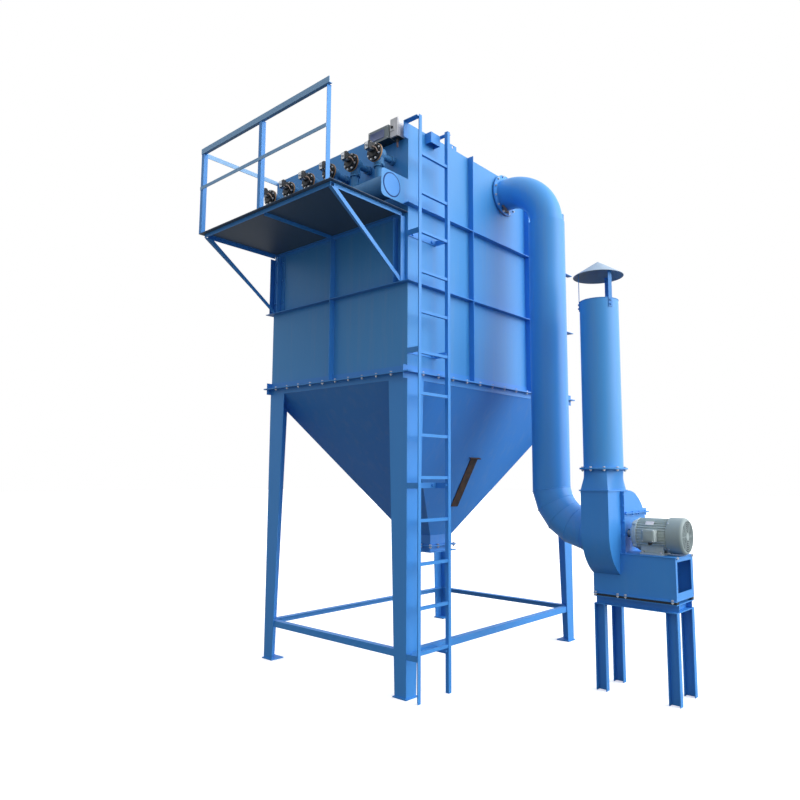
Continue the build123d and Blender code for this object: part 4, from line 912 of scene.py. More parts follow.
@dataclass
class HopperTrim(SubAssembly):
    """Corner welds of the hopper and studs of its dust outlet."""

    top: float = 2242.0
    neck: float = 1018.0
    mouth: float = 930.0
    half_x: float = 800.0
    half_y: float = 1200.0
    half_out: float = 150.0
    weld_r: float = 3.0
    bolt_half: float = 167.0
    bolt_off: float = 60.0
    stud: Bolt = Bolt(12.0, 8.0)

    def build(self) -> None:
        """Lay the corner beads and set the studs."""
        welds = self.batch("hopper_corner_welds", Coat.HOPPER)
        studs = self.batch("outlet_studs", Coat.ZINC)
        stud = self.stud.whole()
        middle = Vector((PLANT.middle_x, PLANT.middle_y, 0))
        for side_x in (1, -1):
            for side_y in (1, -1):
                high = middle + Vector((side_x * self.half_x, side_y * self.half_y, self.top))
                low = middle + Vector((side_x * self.half_out, side_y * self.half_out, self.neck))
                foot = Vector((low.x, low.y, self.mouth))
                welds.add(bead(high, low, self.weld_r))
                welds.add(bead(low, foot, self.weld_r))
                spot = middle + Vector((side_x * self.bolt_half, side_y * self.bolt_half, self.mouth))
                studs.add(stud, at(*spot, spin=any_turn()))
        for side in (1, -1):
            for off in (-self.bolt_off, self.bolt_off):
                for x, y in ((side * self.bolt_half, off), (off, side * self.bolt_half)):
                    studs.add(stud, at(*(middle + Vector((x, y, self.mouth))), spin=any_turn()))
        welds.close()
        studs.close()


@dataclass
class BracketBolts(SubAssembly):
    """Bolts that hold the platform's wall angles, whose heels point one way or the other."""

    heels: tuple[tuple[float, int], ...] = ((-30.0, -1), (-105.0, -1), (-1605.0, 1), (-1505.0, 1))
    line_in: float = 29.0
    face_y: float = -0.3
    levels: tuple[float, ...] = (3060.0, 3255.0, 3420.0)
    bolt: Bolt = Bolt(12.0)
    spin: float = 12.0

    def build(self) -> None:
        """Set the bolt heads on the wall angles."""
        bolts = self.batch("bracket_bolts", Coat.SECTION)
        for heel, way in self.heels:
            for z in self.levels:
                x = heel + way * self.line_in
                bolts.add(self.bolt.head(), at(x, self.face_y, z, Facing.FRONT, self.spin))
        bolts.close()


@dataclass
class RailWelds(SubAssembly):
    """Beads at the feet and heads of the guard-rail posts."""

    foot: float = 3502.0
    head: float = 4182.0
    up: float = 1.5
    leg: float = 36.0
    thickness: float = 3.0
    heels: tuple[tuple[float, float], ...] = ((-1569.0, -772.0), (-780.0, -772.0))
    end_heel: tuple[float, float] = (-50.0, -739.0)

    def build(self) -> None:
        """Lay the beads round each post."""
        welds = self.batch("rail_welds", Coat.SECTION)
        inner = self.leg - self.thickness
        posts = [(heel, 1) for heel in self.heels] + [(self.end_heel, -1)]
        for z in (self.foot + self.up, self.head - self.up):
            for heel, way in posts:
                corner = Vector((*heel, z))
                welds.add(bead(corner, corner + Vector((0, way * inner, 0))))
                welds.add(bead(corner, corner + Vector((-self.leg, 0, 0))))
        welds.close()


@dataclass
class HeaderValves(SubAssembly):
    """Trim of the air header and its six pulse valves."""

    first: float = -1428.0
    pitch: float = 254.0
    count: int = 6
    level: float = 3942.0
    joint_y: float = -193.0
    gasket: Profile = ((64, -5), (69.6, -5), (70.2, -4), (70.2, 4), (69.6, 5), (64, 5), (64, -5))
    cover_y: float = -213.3
    cover_bolt: Bolt = Bolt(8.0)
    cover_bolts: int = 8
    bolt_ring: float = 58.0
    rib_ring: float = 50.0
    rib: Profile = ((0, 0), (6, 1), (8, 3))
    rib_size: tuple[float, float] = (9.0, 16.0)
    pilot_y: tuple[float, float] = (-287.6, -227.6)
    pilot_up: float = 24.0
    strap_off: float = 26.0
    strap: Profile = ((0, 0.6), (1.6, 0))
    strap_size: tuple[float, float] = (50.0, 34.0)
    face_size: tuple[float, float] = (34.0, 54.0)
    nut_out: float = 1.6
    stem_out: float = 7.0
    coil_nut: Profile = ((0, 0), (11, 0), (11, 5), (9.5, 6.5), (0, 6.5))
    coil_stem: Profile = ((0, 0), (5.5, 0), (5.5, 9), (4, 10.5), (0, 10.5))
    plug: Profile = ((0, 0), (15, 0), (19, 3), (20, 6))
    plug_size: tuple[float, float] = (30.0, 28.0)
    plug_corner: float = 4.0
    plug_at: tuple[float, float, float] = (-2.0, 4.0, 27.5)
    plug_end: Profile = ((0, 0), (8.5, 0), (8.5, 8), (6, 10), (5, 16), (0, 16))
    plug_end_at: tuple[float, float, float] = (-17.0, 4.0, 37.0)
    tube: tuple[tuple[float, float, float], ...] = (
        (25, 10, -6),
        (38, 12, -8),
        (47, 20, -18),
        (50, 34, -36),
        (50, 48, -50),
    )
    tube_r: float = 3.2
    union: Profile = ((0, 0), (6.5, 0), (6.5, 7), (5, 8.5), (0, 8.5))
    union_at: tuple[float, float, float] = (22.5, 10.0, -6.0)
    port_y: float = -154.4
    clamp_z: float = 3846.0
    clamp: Profile = ((31, -8), (39.5, -8), (40.5, -7), (40.5, 7), (39.5, 8), (31, 8), (31, -8))
    clamp_ear: Profile = ((0, 1), (2, 0), (14, 0), (16, 1))
    ear_size: tuple[float, float] = (12.0, 20.0)
    ear_out: float = 38.0
    ear_bolt: Bolt = Bolt(6.0)
    ear_bolt_at: tuple[float, float] = (46.0, -10.0)
    pipe_nut: Profile = ((24, 0), (36, 0), (38, 2), (38, 20), (36, 22), (24, 22), (24, 0))
    pipe_nut_y: tuple[float, float] = (-127.0, -34.0)
    # Outline of the painted shadow ring round the tank on each end wall.
    groove_shadow: Profile = ((78, 0), (79, 2), (85, 3.5), (91, 2), (92, 0), (78, 0))
    tank_y: float = -175.0
    tank_z: float = 3652.0

    def build(self) -> None:
        """Build the trim of each valve and the painted shadow rings at the header's ends."""
        gaskets = self.batch("valve_gaskets", Coat.GASKET)
        bolts = self.batch("valve_cover_bolts", Coat.ZINC)
        ribs = self.batch("valve_cover_ribs", Coat.COVER)
        frames = self.batch("pilot_frames", Coat.ZINC)
        plugs = self.batch("pilot_plugs", Coat.COIL)
        tubes = self.batch("pilot_tubes", Coat.COPPER)
        clamps = self.batch("valve_clamps", Coat.VALVE)
        nuts = self.batch("blow_pipe_nuts", Coat.VALVE)
        for i in range(self.count):
            x = self.first + i * self.pitch
            gaskets.add(lathe(self.gasket, 40), at(x, self.joint_y, self.level, Facing.FRONT))
            self.cover(bolts, ribs, x)
            self.pilot(frames, plugs, tubes, x)
            self.pipes(clamps, nuts, x)
        for batch in (gaskets, bolts, ribs, frames, plugs, tubes, clamps, nuts):
            batch.close()
        # Painted shadow: a dark ring round the tank where it meets each end wall.
        groove_shadows = self.batch("header_groove_shadows", Coat.GROOVE_SHADOW)
        for x, facing in ((PLANT.right, Facing.RIGHT), (PLANT.left, Facing.LEFT)):
            groove_shadows.add(lathe(self.groove_shadow, 72), at(x, self.tank_y, self.tank_z, facing))
        groove_shadows.close()

    def cover(self, bolts: Batch, ribs: Batch, x: float) -> None:
        """Set the cover bolts and the ribs between them.

        Args:
            bolts: Batch of the cover bolts.
            ribs: Batch of the cover ribs.
            x: Middle of the valve.
        """
        step = 360 / self.cover_bolts
        for k, angle in enumerate(spread(self.cover_bolts, 0.5)):
            spot_x = x + self.bolt_ring * math.cos(angle)
            spot_z = self.level + self.bolt_ring * math.sin(angle)
            bolts.add(self.cover_bolt.head(), at(spot_x, self.cover_y, spot_z, Facing.FRONT, any_turn()))
            turn = math.radians(step * k)
            rib_x, rib_z = x + self.rib_ring * math.cos(turn), self.level + self.rib_ring * math.sin(turn)
            place = at(rib_x, self.cover_y, rib_z, Facing.FRONT, 90 - step * k)
            ribs.add(pad(*self.rib_size, self.rib), place)

    def beside(self, x: float, off: tuple[float, float, float], facing: Facing = Facing.UP) -> Matrix:
        """Place a shape at a distance from the middle of a pilot solenoid."""
        y, z = sum(self.pilot_y) / 2, self.level + self.pilot_up
        return at(x + off[0], y + off[1], z + off[2], facing)

    def pilot(self, frames: Batch, plugs: Batch, tubes: Batch, x: float) -> None:
        """Add frame, nut, plug and exhaust tube of one pilot solenoid.

        Args:
            frames: Batch of the steel frames and nuts.
            plugs: Batch of the moulded plugs.
            tubes: Batch of the tubes.
            x: Middle of the valve.
        """
        front, back = self.pilot_y
        y, z = (front + back) / 2, self.level + self.pilot_up
        strap = pad(*self.strap_size, self.strap)
        frames.add(strap, self.beside(x, (0, 0, self.strap_off)))
        frames.add(strap, self.beside(x, (0, 0, -self.strap_off), Facing.DOWN))
        frames.add(pad(*self.face_size, self.strap), at(x, front, z, Facing.FRONT))
        frames.add(lathe(self.coil_nut, 6), at(x, front - self.nut_out, z, Facing.FRONT))
        frames.add(lathe(self.coil_stem, 16), at(x, front - self.stem_out, z, Facing.FRONT))
        plugs.add(pad(*self.plug_size, self.plug, self.plug_corner), self.beside(x, self.plug_at))
        plugs.add(lathe(self.plug_end, 12), self.beside(x, self.plug_end_at, Facing.LEFT))
        bend = [Vector((x, y, z)) + Vector(point) for point in self.tube]
        tubes.add(sweep(bend, self.tube_r, 10))
        tubes.add(lathe(self.union, 6), self.beside(x, self.union_at, Facing.RIGHT))

    def pipes(self, clamps: Batch, nuts: Batch, x: float) -> None:
        """Add the port clamp and the nuts of the blow pipe.

        Args:
            clamps: Batch of the painted clamps.
            nuts: Batch of the painted nuts.
            x: Middle of the valve.
        """
        y, z = self.port_y, self.clamp_z
        clamps.add(lathe(self.clamp, 32), at(x, y, z))
        clamps.add(pad(*self.ear_size, self.clamp_ear), at(x + self.ear_out, y, z, Facing.RIGHT))
        off_x, off_y = self.ear_bolt_at
        clamps.add(self.ear_bolt.head(), at(x + off_x, y + off_y, z, Facing.FRONT))
        for nut_y in self.pipe_nut_y:
            nuts.add(lathe(self.pipe_nut, 6), at(x, nut_y, self.level, Facing.BACK, 30))


@dataclass(frozen=True)
class Case:
    """Front of a box beside the valves: its sides, foot, top and face."""

    x: tuple[float, float]
    z: tuple[float, float]
    face: float

    def place(self, x: float, z: float, up: float = 0.0, spin: float = 0.0) -> Matrix:
        """Place a shape on the face, at a distance from its middle."""
        return at(sum(self.x) / 2 + x, self.face - up, sum(self.z) / 2 + z, Facing.FRONT, spin)

    def corners(self, inset: float, up: float = 0.0) -> list[Matrix]:
        """Place four shapes in the corners of the face.

        Args:
            inset: Distance from the two nearest edges.
            up: Distance in front of the face.

        Returns:
            The four places.
        """
        x, z = (self.x[1] - self.x[0]) / 2 - inset, (self.z[1] - self.z[0]) / 2 - inset
        return [self.place(side_x * x, side_z * z, up) for side_x in (1, -1) for side_z in (1, -1)]


@dataclass
class ControlBoxes(SubAssembly):
    """Lids, knob, screws and glands of the two boxes beside the valves."""

    grey: Case = Case((-343.0, -128.0), (4092.0, 4200.0), -83.3)
    white: Case = Case((-124.0, -45.0), (4090.0, 4240.0), -61.3)
    lid_margin: tuple[float, float] = (66.0, 40.0)
    lid_off: float = -12.0
    lid_corner: float = 4.0
    lid: Profile = ((0, 0), (3, 0), (4.5, 1.5), (4.5, 6), (3.5, 7))
    screw: Profile = ((0, 0), (4.5, 0), (4.5, 1.5), (3, 3), (0, 3.2))
    screw_in: float = 12.0
    cover: Profile = ((1.5, 1.5), (3, 0), (9, 0), (11, 2))
    cover_less: float = 2.0
    cover_corner: float = 6.0
    cover_up: float = 11.0
    small_screw: Profile = ((0, 0), (4, 0), (4, 1), (2.8, 2.2), (0, 2.4))
    small_screw_in: float = 10.0
    plate: Profile = ((11, 0), (14, 0), (15, 1))
    plate_size: tuple[float, float] = (46.0, 56.0)
    plate_corner: float = 4.0
    knob_at: tuple[float, float] = (-15.5, 3.0)
    knob: Profile = ((0, 15), (12, 15), (11, 20), (0, 20))
    grip: Profile = ((20, 0), (26, 0), (28, 1.5))
    grip_size: tuple[float, float] = (6.0, 22.0)
    grip_corner: float = 2.5
    grip_turn: float = 35.0
    gland_y: float = -28.3
    gland_nut: Profile = ((0, 0), (16, 0), (16, 8), (14, 9.5), (14, 11), (0, 11))
    gland_cap: Profile = ((0, 10), (12.6, 10), (12.6, 24), (10, 28), (0, 28))
    gland_plug: Profile = ((0, 26), (8, 26), (8.5, 30), (8.5, 62), (6.5, 68), (0, 69))

    def build(self) -> None:
        """Build the trim of both boxes."""
        grey, white = self.grey, self.white
        wide, tall = grey.x[1] - grey.x[0], grey.z[1] - grey.z[0]
        lid = self.batch("controller_lid", Coat.LID_GREY)
        lid.add(
            pad(wide - self.lid_margin[0], tall - self.lid_margin[1], self.lid, self.lid_corner),
            grey.place(self.lid_off, 0),
        )
        lid.close()
        screws = self.batch("box_screws", Coat.ZINC)
        for spot in grey.corners(self.screw_in):
            screws.add(lathe(self.screw, 16), spot)
        for spot in white.corners(self.small_screw_in, self.cover_up):
            screws.add(lathe(self.small_screw, 16), spot)
        wide, tall = white.x[1] - white.x[0] - self.cover_less, white.z[1] - white.z[0] - self.cover_less
        face = self.batch("switch_lid", Coat.BOX_WHITE)
        face.add(pad(wide, tall, self.cover, self.cover_corner), white.place(0, 0))
        face.add(pad(*self.plate_size, self.plate, self.plate_corner), white.place(*self.knob_at))
        face.close()
        knob = self.batch("switch_knob", Coat.KNOB)
        knob.add(lathe(self.knob, 32), white.place(*self.knob_at))
        grip = pad(*self.grip_size, self.grip, self.grip_corner)
        knob.add(grip, white.place(*self.knob_at, spin=self.grip_turn))
        knob.close()
        screws.close()
        below = at(sum(white.x) / 2, self.gland_y, white.z[0], Facing.DOWN)
        gland = self.batch("switch_gland", Coat.KNOB)
        gland.add(lathe(self.gland_nut, 6), below)
        gland.add(lathe(self.gland_cap, 24), below)
        gland.close()
        plug = self.batch("switch_gland_plug", Coat.PLUG)
        plug.add(lathe(self.gland_plug, 20), below)
        plug.close()


@dataclass
class LadderTrim(SubAssembly):
    """Rung welds of the ladder and bolts of its straps."""

    rung_first: float = 327.0
    rung_pitch: float = 300.0
    rung_count: int = 13
    rung: float = 22.0
    rung_x: float = 110.0
    near: float = 11.3
    far: float = 319.7
    weld_r: float = 2.4
    weld_in: float = 1.5
    weld_step: float = 5.5
    levels: tuple[float, ...] = (289.0, 1470.0, 2448.0, 3337.0)
    strap: float = 5.0
    strap_in: float = 40.0
    bolt: Bolt = Bolt(12.0)
    side_bolt: Bolt = Bolt(10.0, 10.0)
    side_bolt_x: float = 105.0
    side_bolt_out: float = 9.3
    side_bolt_spin: float = 10.0

    def build(self) -> None:
        """Lay the rung welds and set the strap bolts."""
        welds = self.batch("rung_welds", Coat.SECTION)
        for step in range(self.rung_count):
            for y in (self.near + self.weld_in, self.far - self.weld_in):
                welds.add(self.rung_weld(Vector((self.rung_x, y, self.rung_first + step * self.rung_pitch))))
        welds.close()
        bolts = self.batch("ladder_strap_bolts", Coat.SECTION)
        for z in self.levels:
            wall = PLANT.right if z > PLANT.joint else 0.0
            for y in (self.near + self.strap_in, self.far - self.strap_in):
                bolts.add(self.bolt.head(), at(wall + self.strap, y, z, Facing.RIGHT, any_turn()))
            for y, facing in (
                (self.near - self.side_bolt_out, Facing.FRONT),
                (self.far + self.side_bolt_out, Facing.BACK),
            ):
                bolts.add(self.side_bolt.whole(), at(self.side_bolt_x, y, z, facing, self.side_bolt_spin))
        bolts.close()

    def rung_weld(self, middle: Vector) -> Shape:
        """Lay the bead round one end of a rung.

        Args:
            middle: Middle of the rung's end.

        Returns:
            The closed bead.
        """
        half = self.rung / 2
        corners = [middle + half * Vector((a, 0, b)) for a, b in ((1, 1), (-1, 1), (-1, -1), (1, -1))]
        loop: list[Vector] = []
        for start, end in zip(corners, corners[1:] + corners[:1]):
            loop += straight(start, end, self.weld_step)[:-1]
        return sweep(loop, self.weld_r, 6, closed=True, ripple=0.15)


@dataclass
class DuctTrim(SubAssembly):
    """Seam welds, ring bolts and sealing compound of the clean-air duct."""

    radius: float = 150.0
    riser_x: float = 420.0
    high_z: float = 4040.0
    riser_top: float = 3676.0
    elbow_r: float = 135.0
    low_bend: float = 370.0
    low_gores: int = 5
    mitre_r: float = 2.8
    seam_r: float = 2.2
    girth_r: float = 3.0
    beads: int = 140
    ring_line: float = 165.0
    ring_bolts: int = 12
    ring: float = 6.0
    collar_x: float = 11.0
    fan_ring_x: float = 838.0
    bolt: Bolt = Bolt(10.0)
    # Each smear runs from one angle to another, at a distance from the wall, with a radius.
    smears: tuple[tuple[float, float, float, float], ...] = (
        (-128.0, -62.0, 2.0, 9.0),
        (-100.0, -70.0, 24.0, 11.0),
        (-84.0, -58.0, 34.0, 8.0),
    )
    smear_steps: int = 24
    smear_out: float = 40.0
    smear_least: float = 4.0
    smear_uneven: float = 2.5
    # Only sharper edges than this stay crisp, so the lumps look smeared.
    smear_edge: float = 60.0

    def corners(self, centre: tuple[float, float], bend: float, start: float, gores: int) -> list[Vector]:
        """Find the corner points of a mitred quarter bend.

        Args:
            centre: Middle of the bend, as X and Z.
            bend: Radius of the bend.
            start: Angle at which it starts, in degrees.
            gores: Number of mitre joints.

        Returns:
            The corner points on the duct's middle line.
        """
        step = 90 / gores
        reach = bend / math.cos(math.radians(step / 2))
        turns = [math.radians(start + (i + 0.5) * step) for i in range(gores)]
        x, z = centre
        return [Vector((x + reach * math.cos(t), PLANT.duct_y, z + reach * math.sin(t))) for t in turns]

    def mitre(self, before: Vector, corner: Vector, after: Vector) -> Shape:
        """Lay the weld bead round one mitre joint.

        Args:
            before: Point of the middle line before the corner.
            corner: The corner.
            after: Point of the middle line after it.

        Returns:
            The bead.
        """
        way = (corner - before).normalized()
        plane = (way + (after - corner).normalized()).normalized()
        across = Vector((0, 1, 0))
        up = way.cross(across)
        path = []
        for angle in spread(self.beads):
            rim = self.radius * (math.cos(angle) * across + math.sin(angle) * up)
            path.append(corner + rim - way * (rim.dot(plane) / way.dot(plane)))
        return sweep(path, self.mitre_r, 6, closed=True, ripple=0.14)

    def build(self) -> None:
        """Lay all seams and set the bolts of both rings."""
        welds = self.batch("duct_seam_welds", Coat.DUCT)
        centre = (self.riser_x + self.low_bend, PLANT.fan_z + self.low_bend)
        low = self.corners(centre, self.low_bend, 180, self.low_gores)
        top = Vector((self.riser_x, PLANT.duct_y, self.riser_top))
        foot = Vector((self.riser_x, PLANT.duct_y, centre[1]))
        line = [top, foot, *low, Vector((self.fan_ring_x, PLANT.duct_y, PLANT.fan_z))]
        for before, corner, after in zip(line, line[1:], line[2:]):
            if (after - corner).cross(corner - before).length > 1.0:
                welds.add(self.mitre(before, corner, after))
        behind = Vector((0, self.radius, 0))
        welds.add(bead(foot + behind, top + behind, self.seam_r))
        girth = circle(top, self.elbow_r, self.beads)
        welds.add(sweep(girth, self.girth_r, 6, closed=True, ripple=0.12))
        welds.close()
        self.compound()
        bolts = self.batch("duct_ring_bolts", Coat.ZINC)
        for angle in spread(self.ring_bolts, 0.5):
            y = PLANT.duct_y + self.ring_line * math.cos(angle)
            up, spin = self.ring_line * math.sin(angle), any_turn()
            spot = at(self.collar_x + self.ring, y, self.high_z + up, Facing.RIGHT, spin)
            bolts.add(self.bolt.nut(), spot)
            bolts.add(self.bolt.head(), at(self.fan_ring_x, y, PLANT.fan_z + up, Facing.LEFT, spin))
        bolts.close()

    def compound(self) -> None:
        """Smear sealing compound under the ring at the wall, as the photograph shows."""
        lump = self.batch("collar_sealing_compound", Coat.COMPOUND)
        for first, last, x, size in self.smears:
            path = []
            for i in range(self.smear_steps + 1):
                angle = math.radians(first + (last - first) * i / self.smear_steps)
                wander = CHANCE.uniform(-self.smear_uneven, self.smear_uneven)
                reach = self.elbow_r + max(self.smear_out - x + wander, self.smear_least)
                y, z = PLANT.duct_y - reach * math.cos(angle), self.high_z + reach * math.sin(angle)
                path.append(Vector((x, y, z)))
            lump.add(sweep(path, size, 8, ripple=0.15))
        lump.close(self.smear_edge)


@dataclass
class StackTrim(SubAssembly):
    """Bolts, seam and strap screws of the exhaust stack and its cap."""

    axis: tuple[float, float] = (956.0, 1125.0)
    radius: float = 143.0
    ring_z: float = 1600.0
    ring: float = 6.0
    ring_line: float = 159.0
    ring_bolts: int = 10
    bolt: Bolt = Bolt(10.0, 12.0)
    top: float = 2870.0
    strap_out: float = 4.3
    strap_angles: tuple[float, ...] = (-30.0, 90.0, 210.0)
    screw: Bolt = Bolt(8.0)
    screws_down: tuple[float, float] = (20.0, 50.0)
    seam_r: float = 2.0
    seam_up: float = 10.0
    foot_weld: tuple[float, float] = (1.0, 3.0)
    rim_weld: tuple[float, float] = (-2.0, 2.6)
    beads: int = 120

    def build(self) -> None:
        """Set the bolts, the screws and the seam."""
        bolts = self.batch("stack_bolts", Coat.ZINC)
        screws = self.batch("cap_strap_bolts", Coat.SECTION)
        middle = Vector((*self.axis, 0))
        for angle in spread(self.ring_bolts, 0.25):
            spot = middle + self.ring_line * Vector((math.cos(angle), math.sin(angle), 0))
            bolts.add(self.bolt.whole(), at(spot.x, spot.y, self.ring_z + self.ring, spin=any_turn()))
        for degrees in self.strap_angles:
            angle = math.radians(degrees)
            out = Vector((math.cos(angle), math.sin(angle), 0))
            spot = middle + out * (self.radius + self.strap_out)
            for down in self.screws_down:
                screws.add(self.screw.head(), at(spot.x, spot.y, self.top - down, out))
        bolts.close()
        screws.close()
        seam = self.batch("stack_seams", Coat.DUCT)
        back = middle + Vector((0, self.radius, 0))
        start = back + Vector((0, 0, self.ring_z + self.seam_up))
        seam.add(bead(start, back + Vector((0, 0, self.top)), self.seam_r))
        foot, rim = self.ring_z + self.ring + self.foot_weld[0], self.top + self.rim_weld[0]
        for z, size in ((foot, self.foot_weld[1]), (rim, self.rim_weld[1])):
            girth = circle(middle + Vector((0, 0, z)), self.radius, self.beads)
            seam.add(sweep(girth, size, 6, closed=True, ripple=0.12))
        seam.close()


@dataclass
class FanTrim(SubAssembly):
    """Bolts of the fan's feet, split angles and pedestal, and the pedestal's welds."""

    bolt_lines: tuple[float, float] = (1126.5, 1473.5)
    foot_top: float = 696.6
    foot_x: tuple[float, ...] = (868.0, 1036.0, 1095.0, 1428.0)
    foot_bolt: Bolt = Bolt(10.0, 6.0)
    split_z: float = 1274.0
    split_y: tuple[float, ...] = (1215.0, 1330.0, 1445.0, 1560.0)
    split_x: float = 1080.0
    split_bolt: Bolt = Bolt(8.0, 8.6)
    upright_z: tuple[float, ...] = (1020.0, 1120.0, 1220.0, 1330.0, 1410.0)
    upright_y: float = 1165.0
    upright_bolt: Bolt = Bolt(8.0, 4.0)
    upright_spin: float = 15.0
    leg: float = 4.0
    gap: float = 0.3
    end_bolt: Bolt = Bolt(10.0)
    end_bolt_x: float = 1460.0
    end_bolt_y: tuple[float, float] = (1440.0, 1160.0)
    pedestal_x: tuple[float, float] = (1062.0, 1454.0)
    pedestal_y: tuple[float, float] = (1135.0, 1465.0)
    pedestal_top: float = 984.0
    post_foot: float = 700.0
    seam_z: float = 698.0
    seam_in: float = 1.0
    post_weld_r: float = 2.4
    seam_r: float = 2.8

    def build(self) -> None:
        """Set all bolts of the fan set and lay the pedestal's welds."""
        bolts = self.batch("fan_bolts", Coat.ZINC)
        for x in self.foot_x:
            for y in self.bolt_lines:
                bolts.add(self.foot_bolt.whole(), at(x, y, self.foot_top, spin=any_turn()))
        painted = self.batch("split_angle_bolts", Coat.SECTION)
        for y in self.split_y:
            z = self.split_z + self.leg + self.gap
            painted.add(self.split_bolt.whole(), at(self.split_x, y, z, spin=any_turn()))
        for z in self.upright_z:
            spot = at(self.split_x, self.upright_y, z, Facing.FRONT, self.upright_spin)
            painted.add(self.upright_bolt.whole(), spot)
        for y in self.end_bolt_y:
            bolts.add(self.end_bolt.head(), at(self.end_bolt_x, y, self.pedestal_top, Facing.RIGHT))
        bolts.close()
        painted.close()
        self.pedestal_welds()

    def pedestal_welds(self) -> None:
        """Lay the beads up the pedestal's end and along its foot."""
        welds = self.batch("fan_welds", Coat.SECTION)
        left, right = self.pedestal_x
        front, back = self.pedestal_y
        for y in self.pedestal_y:
            foot, top = Vector((right, y, self.post_foot)), Vector((right, y, self.pedestal_top))
            welds.add(bead(foot, top, self.post_weld_r))
            start = Vector((left + self.seam_in, y, self.seam_z))
            welds.add(bead(start, Vector((right - self.seam_in, y, self.seam_z)), self.seam_r))
        start = Vector((right, front + self.seam_in, self.seam_z))
        welds.add(bead(start, Vector((right, back - self.seam_in, self.seam_z)), self.seam_r))
        welds.close()


@dataclass
class MotorTrim(SubAssembly):
    """Cowl, lid, gland, plate and bolts of the motor."""

    axis_y: float = 1300.0
    axis_z: float = 1125.0
    cowl_x: tuple[float, float] = (1376.0, 1488.0)
    cowl_r: float = 128.0
    cowl_t: float = 2.0
    bend: float = 22.0
    bend_step: int = 15
    grille_first: float = 24.0
    grille_pitch: float = 13.5
    grille_wide: float = 6.0
    grille_back: float = 0.3
    # Outlines inside the cowl have their heights from its end face.
    spokes: int = 6
    spoke_mid: float = 65.0
    spoke_size: tuple[float, float] = (84.0, 4.0)
    spoke: Profile = ((-3.5, 0), (-0.6, 0))
    hub: Profile = ((0, -3), (24, -3), (24, -0.3), (0, -0.3))
    rotor: Profile = ((0, -18), (124, -24), (124, -28), (0, -28))
    blades: int = 9
    blade_mid: float = 60.0
    blade_size: tuple[float, float] = (60.0, 3.0)
    blade: Profile = ((-17, 0), (-8, 0))
    cowl_screw: Profile = ((0, -0.5), (6, -0.5), (6, 1.5), (4, 3.5), (0, 4))
    cowl_screw_in: float = 9.0
    cowl_screws: int = 4
    box: tuple[float, float, float] = (1274.0, 1124.0, 1127.0)
    lid: Profile = ((0, 0), (7, 0), (9, 2), (12, 10), (14, 13))
    lid_size: float = 86.0
    lid_corner: float = 9.0
    lid_screw: Profile = ((0, 0), (4.5, 0), (4.5, 2.5), (3, 4), (0, 4.2))
    lid_screw_off: float = 35.0
    lid_screw_up: float = 8.0
    gland_nut: Profile = ((0, 0), (17, 0), (17, 9), (15, 11), (0, 11))
    gland_cap: Profile = ((0, 10), (13, 10), (13, 20), (9, 26), (0, 26))
    gland_off: tuple[float, float] = (34.0, -40.0)
    shoe_top: float = 1004.0
    shoe_x: tuple[float, float] = (1200.0, 1330.0)
    shoe_off: float = 97.0
    shoe_bolt: Bolt = Bolt(12.0)
    plate_x: float = 1252.0
    plate_slope: tuple[float, float] = (-83.0, 87.0)
    plate_out: float = 118.5
    plate: Profile = ((0, 0), (1.0, 0), (1.4, 0.4))
    plate_size: tuple[float, float] = (60.0, 34.0)
    plate_corner: float = 3.0
    rivet: Profile = ((0, 1), (2.4, 1), (1.8, 2.4), (0, 2.8))
    rivet_off: tuple[float, float] = (26.0, 13.0)
    bell_x: float = 1112.0
    bell_ribs: int = 8
    bell_rib: Profile = ((78, 0), (99, 0), (103, 2))
    bell_rib_in: float = 22.0
    bell_rib_size: tuple[float, float] = (8.0, 46.0)
    bosses: int = 4
    boss: Profile = ((0, -14), (12, -14), (13, 0), (12, 14), (0, 14))
    boss_ring: float = 109.0
    boss_x: float = 1140.0
    boss_half: float = 14.0
    bell_bolt: Bolt = Bolt(8.0)
    bell_spin: float = 10.0
    bell_collar: Profile = ((19.5, 0), (48, 0), (52, 4), (54, 12), (19.5, 12))

    def build(self) -> None:
        """Build the motor's own pieces."""
        self.cowl()
        self.terminal_box()
        self.fasteners()
        self.bell()

    def cowl(self) -> None:
        """Press the fan cowl with its ring grille; it stands for the plain CAD cowl."""
        low, high = self.cowl_x
        end, r, t = high - low, self.cowl_r, self.cowl_t
        straight_end, flat = end - self.bend, r - self.bend
        outer = [(r - t, 0), (r, 0), (r, straight_end)]
        inner = [(r - t, straight_end)]
        for degrees in range(self.bend_step, 91, self.bend_step):
            angle = math.radians(degrees)
            rise = straight_end + self.bend * math.sin(angle)
            outer.append((flat + self.bend * math.cos(angle), rise))
            inner.append((flat + (self.bend - t) * math.cos(angle), rise - t))
        place = at(low, self.axis_y, self.axis_z, Facing.RIGHT)
        cowl = self.batch("cowl_with_grille", Coat.COWL)
        cowl.add(lathe([*outer, *reversed(inner), (r - t, 0)], 72), place)
        face = end - self.grille_back
        for k in range(math.ceil((flat - self.grille_first) / self.grille_pitch)):
            near = self.grille_first + k * self.grille_pitch
            far = near + self.grille_wide
            ring = [(near, end - t), (far, end - t), (far, face), (near, face), (near, end - t)]
            cowl.add(lathe(ring, 64), place)
        end_place = at(high, self.axis_y, self.axis_z, Facing.RIGHT)
        spoke = pad(*self.spoke_size, self.spoke, 1.0)
        cowl.add(rosette(spoke, self.spokes, self.spoke_mid), end_place)
        cowl.add(lathe(self.hub, 32), end_place)
        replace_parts(cowl.close(), "motor_cowl")
        inside = self.batch("cowl_inside", Coat.DARK)
        inside.add(lathe(self.rotor, 48), end_place)
        blade = pad(*self.blade_size, self.blade, 1.0)
        inside.add(rosette(blade, self.blades, self.blade_mid), end_place)
        inside.close()
        screws = self.batch("cowl_screws", Coat.ZINC)
        for angle in spread(self.cowl_screws, 0.5):
            out = Vector((0, math.cos(angle), math.sin(angle)))
            spot = Vector((low + self.cowl_screw_in, self.axis_y, self.axis_z)) + out * r
            screws.add(lathe(self.cowl_screw, 16), at(*spot, out))
        screws.close()

